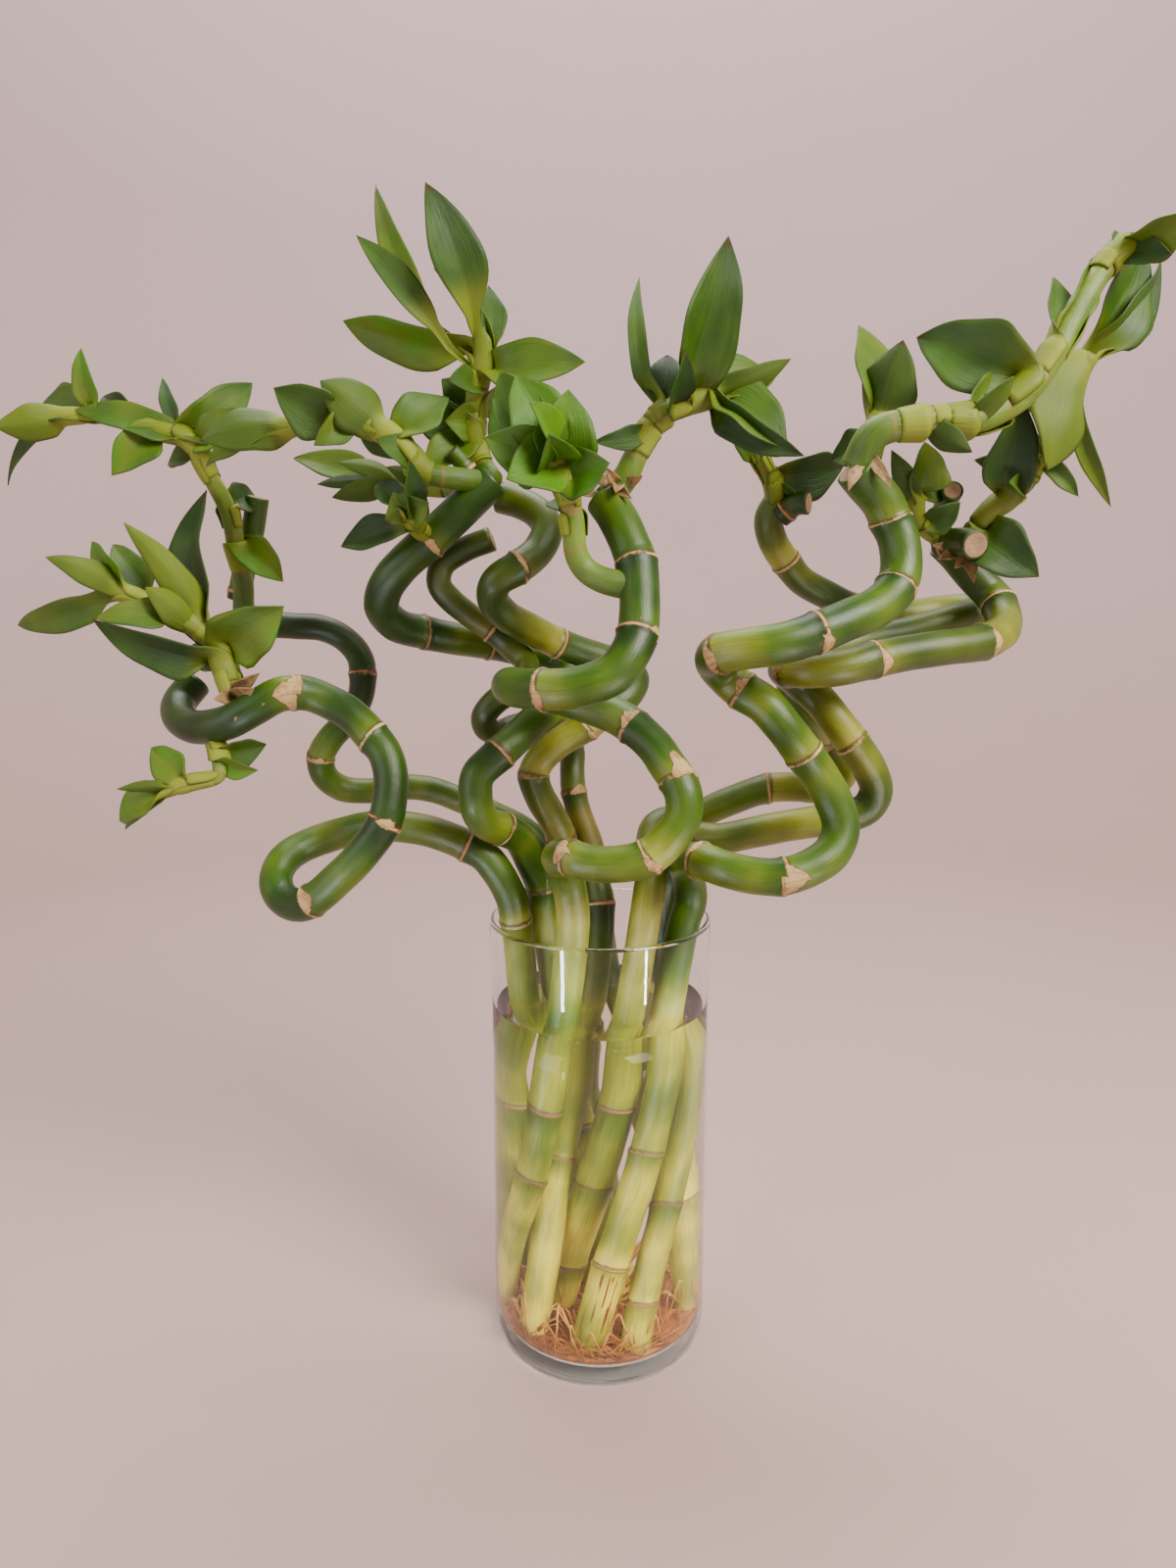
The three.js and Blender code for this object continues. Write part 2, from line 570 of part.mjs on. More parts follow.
// The vase: a turned wall with a rounded rim and a thick base
function vaseGeometry() {
  const outside = vaseDiameter / 2;
  const rimMiddle = outside - glassThickness / 2;
  const rimDrop = 1.4;
  const footRound = 3;
  const innerRound = 3;
  const profile = [
    [0, 0], [outside - footRound, 0], [outside - 0.8, 0.8], [outside, footRound],
    [outside, vaseHeight - rimDrop], [outside - 0.5, vaseHeight - 0.3], [rimMiddle, vaseHeight],
    [insideRadius + 0.5, vaseHeight - 0.3], [insideRadius, vaseHeight - rimDrop],
    [insideRadius, baseThickness + innerRound],
    [insideRadius - 0.8, baseThickness + 0.8], [insideRadius - innerRound, baseThickness],
    [0, baseThickness],
  ];
  return turned(profile);
}

// Turned bodies stand along +Z
function turned(profile) {
  const body = new THREE.LatheGeometry(profile.map(([r, z]) => new THREE.Vector2(r, z)), vaseSides);
  body.rotateX(Math.PI / 2);
  return body;
}

// The water stands round the canes, and leaves the floor to the roots
function waterSolid(caneRoom) {
  const reach = insideRadius - gap;
  const skirt = reach - 2;
  const pocketTop = floorHeight + rootReach + gap;
  let water = solidOf(turned([
    [0, pocketTop], [skirt, pocketTop], [skirt, floorHeight + 2], [reach - 1, floorHeight + 2],
    [reach, floorHeight + 4], [reach, waterLevel], [0, waterLevel],
  ]));
  for (const room of caneRoom) water = water.subtract(room);
  return largestPiece(water);
}

// Repeatable random numbers between 0 and 1
function seededRandom(seed) {
  let state = seed;
  return () => {
    state = (state * 1664525 + 1013904223) % 4294967296;
    return state / 4294967296;
  };
}

// A thin mat on the floor, with roots that rise from it beside each foot
function rootsSolid(caneRoom) {
  const random = seededRandom(7);
  let roots = solidOf(turned([
    [0, floorHeight], [matRadius, floorHeight], [matRadius - 1, floorHeight + matThickness],
    [0, floorHeight + matThickness],
  ]));
  for (const cane of canes) {
    const [x, y] = cane.route[0];
    for (let i = 0; i < rootsPerCane; i += 1) {
      const turn = ((i + random() * 0.6) / rootsPerCane) * 2 * Math.PI;
      roots = roots.add(rootTube(x, y, turn, random));
    }
  }
  for (const room of caneRoom) roots = roots.subtract(room);
  return largestPiece(roots);
}

// One root: up from the mat, over, and down into it again further out
function rootTube(x, y, turn, random) {
  const start = 9 + 2 * random();
  const reach = start + 6 + 9 * random();
  const height = rootReach * (0.35 + 0.55 * random());
  const at = (distance, rise) => {
    const far = Math.hypot(x + distance * Math.cos(turn), y + distance * Math.sin(turn));
    const keepIn = Math.min(1, (matRadius - 3) / far);
    return [
      (x + distance * Math.cos(turn)) * keepIn,
      (y + distance * Math.sin(turn)) * keepIn,
      floorHeight + rise,
    ];
  };
  const curve = smoothCurve([
    at(start, 1.5), at(start + 1, height * 0.7), at((start + reach) / 2, height), at(reach, 1.5),
  ]);
  const total = curve.getLength();
  const distances = [0, total * 0.35, total * 0.65, total];
  return tubeThrough(sectionsAlong(curve, distances, () => rootRadius), rootSides);
}

// A cane stands flat on the vase's floor
const upward = [0, 0, 1];
const caneSolids = canes.map((cane) => caneTube(cane, 0).trimByPlane(upward, floorHeight));
const caneRoom = canes.map((cane) => caneTube(cane, gap));

const part = new THREE.Group();

function addPiece(name, geometry, material) {
  const piece = new THREE.Mesh(geometry, material);
  piece.name = name;
  part.add(piece);
}

addPiece('vase', vaseGeometry(), glass);
addPiece('water', geometryOf(waterSolid(caneRoom)), clearWater);
addPiece('roots', geometryOf(rootsSolid(caneRoom)), rootOrange);
canes.forEach((cane, i) => addPiece(cane.name, geometryOf(caneSolids[i]), cane.material));
for (const shoot of shoots) {
  addPiece(shoot.name, geometryOf(shootSolid(shoot, caneRoom)), leafGreen);
}

export default part;
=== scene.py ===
import math
import random
from collections import namedtuple

import bmesh
import bpy
from mathutils import Matrix, Vector, geometry, noise


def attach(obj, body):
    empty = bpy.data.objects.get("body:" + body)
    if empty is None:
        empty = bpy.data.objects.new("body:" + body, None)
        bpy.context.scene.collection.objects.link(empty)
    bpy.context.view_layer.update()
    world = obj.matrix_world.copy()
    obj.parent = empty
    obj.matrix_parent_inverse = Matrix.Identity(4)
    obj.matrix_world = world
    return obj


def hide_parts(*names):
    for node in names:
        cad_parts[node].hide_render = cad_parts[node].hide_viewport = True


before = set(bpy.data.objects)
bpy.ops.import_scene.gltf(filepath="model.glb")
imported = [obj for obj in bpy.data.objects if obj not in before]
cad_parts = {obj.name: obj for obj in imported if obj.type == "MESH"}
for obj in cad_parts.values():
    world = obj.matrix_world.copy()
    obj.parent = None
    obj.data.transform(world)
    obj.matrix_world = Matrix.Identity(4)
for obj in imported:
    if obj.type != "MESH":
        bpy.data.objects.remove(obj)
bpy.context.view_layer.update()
mm = 0.001  # the scene is in metres, and the plant is drawn in millimetres until toMetres


# Camera and studio, in metres
cameraLook = {"place": (-0.0054, -0.4315, 0.327), "downTilt": 8.8, "lens": 22.5, "sensor": 36}

studioLook = {
    "floorColour": (0.47, 0.345, 0.32), "wallColour": (0.56, 0.445, 0.445),
    "colourFade": (0.7, 0.0),  # the heights between which one turns into the other
    "floorReach": 1.1, "wallReach": 1.7, "wallHeight": 2.6, "steps": 96,
    "skyColour": (0.95, 0.93, 0.95), "skyStrength": 0.29,
    "aim": (0.0, 0.0, 0.28),
    "lights": {
        "keyLight": {"place": (0.75, -0.7, 1.05), "size": (0.5, 0.6), "power": 31,
                     "colour": (1.0, 0.91, 0.82)},
        "fillLight": {"place": (-1.0, -0.7, 0.6), "size": (0.5, 1.2), "power": 7,
                      "colour": (0.93, 0.95, 1.0)},
        "topLight": {"place": (-0.15, 0.35, 1.5), "size": (0.9, 0.9), "power": 15,
                     "colour": (1.0, 0.96, 0.92)},
        "wallLight": {"place": (0.1, 0.75, 2.1), "size": (1.6, 0.5), "power": 24,
                      "colour": (1.0, 0.95, 0.95), "aim": (0.1, 1.7, 0.9)},
        "leftStreak": {"place": (-0.165, -0.236, 0.118), "size": (0.016, 0.085), "power": 0.5,
                       "colour": (0.80, 0.88, 1.0), "aim": (0, 0, 0.118), "glossOnly": True},
        "rightStreak": {"place": (0.201, -0.223, 0.118), "size": (0.010, 0.085), "power": 0.5,
                        "colour": (1.0, 0.97, 0.92), "aim": (0, 0, 0.118), "glossOnly": True},
    },
}


def addCamera(look):
    data = bpy.data.cameras.new("photoCamera")
    data.lens = look["lens"]
    data.sensor_width = look["sensor"]
    camera = bpy.data.objects.new("photoCamera", data)
    camera.location = look["place"]
    camera.rotation_euler = (math.radians(90 - look["downTilt"]), 0, 0)
    bpy.context.scene.collection.objects.link(camera)
    bpy.context.scene.camera = camera


def addLight(name, look, aim):
    data = bpy.data.lights.new(name, "AREA")
    data.shape = "RECTANGLE"
    data.size, data.size_y = look["size"]
    data.energy = look["power"]
    data.color = look["colour"]
    light = bpy.data.objects.new(name, data)
    light.location = look["place"]
    towards = Vector(look.get("aim", aim)) - light.location
    light.rotation_euler = towards.to_track_quat("-Z", "Y").to_euler()
    light.visible_camera = False
    light.visible_diffuse = not look.get("glossOnly", False)  # only makes streaks on the glass
    bpy.context.scene.collection.objects.link(light)


addCamera(cameraLook)
for lightName, lightLook in studioLook["lights"].items():
    addLight(lightName, lightLook, studioLook["aim"])
print("camera and lights are up")


# Shader maths: a wire is a socket that takes Python's operators
class Wire:
    def __init__(self, finish, socket):
        self.finish = finish
        self.socket = socket

    def maths(self, operation, first, second=0.0, clamped=False):
        settings = {"operation": operation, "use_clamp": clamped}
        return self.finish.node("ShaderNodeMath", settings, {0: first, 1: second})

    def __add__(self, other):
        return self.maths("ADD", self, other)

    def __radd__(self, other):
        return self.maths("ADD", other, self)

    def __sub__(self, other):
        return self.maths("SUBTRACT", self, other)

    def __rsub__(self, other):
        return self.maths("SUBTRACT", other, self)

    def __mul__(self, other):
        return self.maths("MULTIPLY", self, other)

    def __rmul__(self, other):
        return self.maths("MULTIPLY", other, self)

    def __abs__(self):
        return self.maths("ABSOLUTE", self)

    def clamp(self):
        return self.maths("ADD", self, 0.0, True)

    # 0 below low and 1 above high, or the other way round when low is the larger
    def between(self, low, high):
        sockets = {"Value": self, "From Min": low, "From Max": high}
        return self.finish.node("ShaderNodeMapRange", {"interpolation_type": "SMOOTHSTEP"}, sockets)


class Finish:
    def __init__(self, name):
        self.material = bpy.data.materials.new(name)
        self.material.use_nodes = True
        self.tree = self.material.node_tree
        self.tree.nodes.clear()

    # settings are set before the sockets
    def node(self, kind, settings=None, sockets=None, output=0):
        node = self.tree.nodes.new(kind)
        for name, value in (settings or {}).items():
            setattr(node, name, value)
        for name, value in (sockets or {}).items():
            if isinstance(value, Wire):
                self.tree.links.new(value.socket, node.inputs[name])
            else:
                node.inputs[name].default_value = value
        return Wire(self, node.outputs[output])

    # stops are (place, colour)
    def ramp(self, stops, factor):
        wire = self.node("ShaderNodeValToRGB", sockets={"Fac": factor})
        elements = wire.socket.node.color_ramp.elements
        while len(elements) < len(stops):
            elements.new(0.5)
        for element, (place, colour) in zip(elements, stops):
            element.position = place
            element.color = colour + (1,)
        return wire

    def attribute(self, name, output="Fac"):
        return self.node("ShaderNodeAttribute", {"attribute_name": name}, output=output)

    def parts(self, vector):
        split = self.node("ShaderNodeSeparateXYZ", sockets={0: vector}).socket.node
        return [Wire(self, output) for output in split.outputs]

    def place(self):
        return self.node("ShaderNodeTexCoord", output="Object")

    def stretched(self, vector, scale):
        return self.node("ShaderNodeVectorMath", {"operation": "MULTIPLY"}, {0: vector, 1: scale})

    def noise(self, vector, scale, detail=3.0, roughness=0.5):
        sockets = {"Vector": vector, "Scale": scale, "Detail": detail, "Roughness": roughness}
        return self.node("ShaderNodeTexNoise", sockets=sockets)

    def mix(self, factor, first, second):
        settings = {"data_type": "RGBA", "clamp_factor": True}
        first, second = [end if isinstance(end, Wire) else end + (1,) for end in (first, second)]
        return self.node("ShaderNodeMix", settings, {0: factor, 6: first, 7: second}, output=2)

    def bump(self, height, depth, under=None):
        sockets = {"Height": height, "Distance": depth}
        if under:
            sockets["Normal"] = under
        return self.node("ShaderNodeBump", sockets=sockets)

    def done(self, shader):
        output = self.tree.nodes.new("ShaderNodeOutputMaterial")
        self.tree.links.new(shader.socket, output.inputs["Surface"])
        return self.material

    # The finished material of anything that light doesn't pass
    def opaque(self, colour, roughness, bump=None, shine=0.5):
        sockets = {"Base Color": colour, "Roughness": roughness, "Specular IOR Level": shine}
        if bump:
            sockets["Normal"] = bump
        return self.done(self.node("ShaderNodeBsdfPrincipled", sockets=sockets))


# Lamps shine straight through a clear piece, so that what stands in it is lit
def clearFinish(name, look):
    finish = Finish(name)
    clear = finish.node("ShaderNodeBsdfPrincipled", sockets={
        "Base Color": look["colour"] + (1,), "Roughness": look["roughness"],
        "IOR": look["bending"], "Transmission Weight": look["clearness"],
        "Coat Weight": look["gloss"], "Coat Roughness": 0.0,
    })
    passing = finish.node("ShaderNodeBsdfTransparent", sockets={"Color": look["shade"] + (1,)})
    shadowRay = finish.node("ShaderNodeLightPath", output="Is Shadow Ray")
    return finish.done(finish.node("ShaderNodeMixShader",
                                   sockets={0: shadowRay, 1: clear, 2: passing}))


# Reads the attributes that buildCane notes: tone, scar and split from 0 to 1, and the
# distance from the nearest node ring in millimetres, with its sign and without
def caneFinish(name, look):
    finish = Finish(name)
    place = finish.place()
    grain = finish.attribute("grain", "Vector")
    fromRing = finish.attribute("fromRing")
    toneHere = finish.attribute("tone")
    scar = finish.attribute("scar")
    nearRing = finish.attribute("nearRing")
    height = finish.parts(place)[2]

    blotches = finish.noise(place, 38.0, 2.0).between(0.33, 0.67)
    streaks = finish.noise(finish.stretched(grain, (5.0, 5.0, 0.35)), 2.2, 4.0, 0.6)
    fine = finish.noise(finish.stretched(grain, (9.0, 9.0, 1.0)), 2.5, 3.0, 0.6)
    ragged = finish.noise(place, 420.0, 3.0, 0.6)
    tatter = finish.noise(place, 230.0, 3.0, 0.6)
    cracks = finish.noise(finish.stretched(grain, (2.4, 2.4, 0.2)), 1.7, 2.0)

    # fresh bark is lighter just over a ring and darker just under the next
    overRing = nearRing.between(15.0, 0.0) * fromRing.between(-0.5, 0.5)
    underRing = nearRing.between(12.0, 1.0) * fromRing.between(0.5, -0.5)
    tone = toneHere + (blotches - 0.5) * 0.26 + (streaks - 0.5) * 0.3
    bark = finish.ramp(look["bark"], ((tone - underRing * 0.16) + overRing * 0.2).clamp())
    bark = finish.mix(fine.between(0.62, 0.8) * 0.25, bark, look["stripe"])

    # bark under water is pale and yellowish, and palest near its foot
    soaked = height.between(*look["waterLine"])
    wetTone = toneHere * 0.5 + blotches * 0.3 + (streaks - 0.5) * 0.5 - underRing * 0.2
    wetTone = (wetTone + height.between(*look["footFade"]) * 0.25 + 0.04).clamp()
    wet = finish.ramp(look["wet"], wetTone)
    wet = finish.mix(cracks.between(0.56, 0.58) * finish.attribute("split"), wet, look["split"])
    bark = finish.mix(soaked, bark, wet)

    # a node ring is a thin dry line with a darker edge
    wander = fromRing + (ragged - 0.5) * 1.5
    line = (nearRing + (ragged - 0.5) * 1.1).between(0.95, 0.5)
    edge = abs(wander - 0.9).between(1.1, 0.4) * nearRing.between(6.0, 4.0) * 0.8
    dryRing = finish.mix(blotches, look["ring"], look["ringPale"])
    colour = finish.mix(edge, bark, look["ringEdge"])
    colour = finish.mix(line, colour, finish.mix(soaked * 0.85, dryRing, look["ringWet"]))

    # a scar is torn along its edge and frayed across
    tornEdge = scar + (tatter - 0.5) * 1.5
    torn = tornEdge.between(0.45, 0.58) * (1 - soaked)
    frayed = (tatter * 0.5 + streaks * 0.5).between(0.46, 0.60) * 0.75
    colour = finish.mix(torn, colour, finish.mix(frayed, look["scar"], look["scarDark"]))
    rim = abs(tornEdge - 0.5).between(0.12, 0.04) * scar.between(0.05, 0.3) * 0.7
    colour = finish.mix(rim * (1 - soaked), colour, look["ringEdge"])

    roughness = (0.29 + fine * 0.14 + line * 0.35 + torn * 0.35).clamp()
    bump = finish.bump(ragged * (line + torn), 0.0005, finish.bump(fine, 0.00012))
    return finish.opaque(colour, roughness, bump, look["shine"])


def cutFinish(name, look):
    finish = Finish(name)
    place = finish.place()
    fibres = finish.noise(place, 700.0, 3.0, 0.6)
    patches = finish.noise(place, 160.0, 2.0)
    colour = finish.ramp(look["cutWood"], (fibres * 0.6 + patches * 0.7 - 0.2).clamp())
    return finish.opaque(colour, (0.6 + fibres * 0.2).clamp(), finish.bump(fibres, 0.0004))


# A leaf's seed is its random shade from 0 to 1, plus this where it isn't a plain leaf
leafKinds = {"rosette": 1.5, "husk": 3}


# Reads bladeSpace: across a leaf from -1 to 1, along it from 0 to 1 or less on its sheath,
# and its seed
def bladeFinish(name, look):
    finish = Finish(name)
    space = finish.attribute("bladeSpace", "Vector")
    across, along, seed = finish.parts(space)
    place = finish.place()
    blotches = finish.noise(place, 55.0, 2.0)
    veins = finish.noise(finish.stretched(space, (15.0, 1.1, 30.0)), 1.6, 3.0, 0.65)
    ragged = finish.noise(place, 350.0, 3.0, 0.6)
    rosette = seed.between(leafKinds["rosette"] - 0.1, leafKinds["rosette"])
    husk = seed.between(leafKinds["husk"] - 0.1, leafKinds["husk"])

    tone = blotches * 0.7 + seed * 0.75 + veins * 0.3 + across * (seed - 0.5) * 0.25 - 0.42
    vivid = blotches * 0.7 + (seed - leafKinds["rosette"]) * 0.6 + veins * 0.3 - 0.3
    colour = finish.mix(rosette, finish.ramp(look["blade"], tone.clamp()),
                        finish.ramp(look["young"], vivid.clamp()))
    colour = finish.mix(abs(across).between(0.07, 0.01) * 0.22, colour, look["midrib"])
    paleBase = (along + (veins - 0.5) * 0.15).between(0.34, 0.04)
    colour = finish.mix(paleBase * 0.85, colour, look["base"])
    colour = finish.mix(abs(across).between(0.9, 0.99) * 0.5, colour, look["margin"])
    dried = along + (ragged - 0.5) * 0.05 - seed.between(0.35, 0.75) * 0.06
    dried = dried.between(0.925, 0.955)
    colour = finish.mix(dried * 0.8, colour, look["dried"])
    papery = finish.mix(ragged.between(0.45, 0.65) * 0.5, look["husk"], look["dried"])
    colour = finish.mix(husk, colour, papery)

    roughness = (look["roughness"] + veins * 0.12 + dried * 0.3).clamp()
    return finish.opaque(colour, roughness, finish.bump(veins, 0.00025), look["shine"])


def stemFinish(name, look):
    finish = Finish(name)
    grain = finish.attribute("grain", "Vector")
    place = finish.place()
    streaks = finish.noise(finish.stretched(grain, (6.0, 6.0, 0.8)), 2.4, 4.0, 0.6)
    blotches = finish.noise(place, 70.0, 2.0)
    ragged = finish.noise(place, 420.0, 3.0, 0.6)
    turned = finish.parts(grain)[0]
    tone = finish.attribute("tone") + (streaks - 0.5) * 0.4 + (blotches - 0.5) * 0.5 - turned * 0.16
    line = abs(finish.attribute("fromRing") + (ragged - 0.5) * 1.2).between(0.8, 0.3) * 0.6
    colour = finish.mix(line, finish.ramp(look["skin"], tone.clamp()), look["line"])
    return finish.opaque(colour, (0.36 + streaks * 0.16).clamp(), finish.bump(streaks, 0.0002))


# Roots darken towards the floor of the vase
def rootFinish(name, look):
    finish = Finish(name)
    place = finish.place()
    patches = finish.noise(place, 90.0, 3.0, 0.6)
    fine = finish.noise(place, 900.0, 2.0)
    old = finish.parts(place)[2].between(*look["darkening"]) * 0.7 + patches * 0.9 - 0.25
    colour = finish.ramp(look["skin"], old.clamp())
    return finish.opaque(colour, (0.5 + fine * 0.25).clamp(), finish.bump(fine, 0.0002))


def studioFinish(name, look):
    finish = Finish(name)
    place = finish.place()
    lower = finish.parts(place)[2].between(*look["colourFade"])
    clouds = (finish.noise(place, 6.0, 2.0) - 0.5) * 0.3
    paper = finish.mix((lower + clouds).clamp(), look["wallColour"], look["floorColour"])
    return finish.opaque(paper, 0.75)


# Meshes
def finishPiece(name, bm, materials, node=None):
    mesh = bpy.data.meshes.new(name)
    bm.to_mesh(mesh)
    bm.free()
    mesh.polygons.foreach_set("use_smooth", [True] * len(mesh.polygons))
    for material in materials:
        mesh.materials.append(material)
    piece = bpy.data.objects.new(name, mesh)
    bpy.context.scene.collection.objects.link(piece)
    if node:
        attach(piece, "root")
        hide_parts(node)
    return piece


def toMetres(bm):
    bmesh.ops.scale(bm, verts=bm.verts, vec=(mm, mm, mm))
    return bm


# A closed shape turned about the vase's axis from its half outline
def turnedShape(outline, steps):
    bm = bmesh.new()
    corners = [bm.verts.new((radius, 0, height)) for radius, height in outline]
    edges = [bm.edges.new(pair) for pair in zip(corners, corners[1:])]
    bmesh.ops.spin(bm, geom=corners + edges, cent=(0, 0, 0), axis=(0, 0, 1), angle=2 * math.pi,
                   steps=steps, use_merge=True)
    bmesh.ops.remove_doubles(bm, verts=bm.verts, dist=1e-6)
    bmesh.ops.recalc_face_normals(bm, faces=bm.faces)
    return bm


def clamp(value, low=0, high=1):
    return max(low, min(high, value))


# A smooth step from 0 to 1
def ease(share):
    return share * share * (3 - 2 * share)


# What is left of a vector square to an axis
def squareTo(vector, axis):
    return vector - axis * vector.dot(axis)


viewerSide = Vector((0, -1, 0))
Station = namedtuple("Station", "centre heading side up along radius")


# The centripetal curve of the part's source, as points a step apart, and how far along it
# each point of the route is
def evenPoints(route, step, samples=16):
    ends = [2 * route[0] - route[1]] + route + [2 * route[-1] - route[-2]]
    curve = [route[0]]
    marks = [0]
    for before, start, end, after in zip(ends, ends[1:], ends[2:], ends[3:]):
        gaps = [math.sqrt((b - a).length) for a, b in ((before, start), (start, end), (end, after))]
        leave = ((start - before) / gaps[0] - (end - before) / (gaps[0] + gaps[1])
                 + (end - start) / gaps[1]) * gaps[1]
        arrive = ((end - start) / gaps[1] - (after - start) / (gaps[1] + gaps[2])
                  + (after - end) / gaps[2]) * gaps[1]
        handles = start + leave / 3, end - arrive / 3
        curve += geometry.interpolate_bezier(start, *handles, end, samples + 1)[1:]
        marks.append(len(curve) - 1)
    lengths = [0.0]
    for a, b in zip(curve, curve[1:]):
        lengths.append(lengths[-1] + (b - a).length)
    count = max(2, round(lengths[-1] / step))
    points = []
    span = 0
    for i in range(count + 1):
        wanted = lengths[-1] * i / count
        while lengths[span + 1] < wanted and span < len(lengths) - 2:
            span += 1
        share = (wanted - lengths[span]) / (lengths[span + 1] - lengths[span])
        points.append(curve[span].lerp(curve[span + 1], share))
    return points, [lengths[mark] for mark in marks]


# Cross-sections through points, each turned as little as possible from the last
def stationsThrough(points):
    stations = []
    side = viewerSide
    along = 0.0
    last = None
    for i, centre in enumerate(points):
        heading = (points[min(i + 1, len(points) - 1)] - points[max(i - 1, 0)]).normalized()
        if last:
            side = last.rotation_difference(heading) @ side
            along += (centre - points[i - 1]).length
        side = squareTo(side, heading).normalized()
        stations.append(Station(centre, heading, side, heading.cross(side), along, 0))
        last = heading
    return stations


# A grid of quads rolled round the stations. reach(station, outward) is the radius towards
# outward, and note(vert, station, turn, outward) stores what the finish reads
def rolledTube(bm, stations, sides, reach, note=None):
    rows = len(stations) - 1
    sheet = bmesh.ops.create_grid(bm, x_segments=sides, y_segments=rows, size=0.5)["verts"]
    for vert in sheet:
        column = round((vert.co.x + 0.5) * sides) % sides
        station = stations[round((vert.co.y + 0.5) * rows)]
        turn = 2 * math.pi * column / sides
        outward = math.cos(turn) * station.side + math.sin(turn) * station.up
        vert.co = station.centre + outward * reach(station, outward)
        if note:
            note(vert, station, turn, outward)
    bmesh.ops.remove_doubles(bm, verts=sheet, dist=1e-4)


# Closes the open ends, each cap wound like the side it closes
def capEnds(bm):
    rims = [edge for edge in bm.edges if edge.is_boundary]
    caps = bmesh.ops.holes_fill(bm, edges=rims, sides=0)["faces"]
    bmesh.ops.reverse_faces(bm, faces=[cap for cap in caps if not cap.edges[0].is_contiguous])
    return caps


# Vertex attributes by name, of vectors and of numbers
def addLayers(bm, vectors, numbers):
    layers = {name: bm.verts.layers.float_vector.new(name) for name in vectors}
    layers.update({name: bm.verts.layers.float.new(name) for name in numbers})
    return layers


def grainAt(station, turn):
    return (math.cos(turn), math.sin(turn), station.along / 10)


# A tone so far along, from tones spread evenly over the length
def toneAlong(tones, share):
    place = clamp(share, 0, 0.999) * (len(tones) - 1)
    start = int(place)
    return tones[start] + (tones[start + 1] - tones[start]) * ease(place - start)


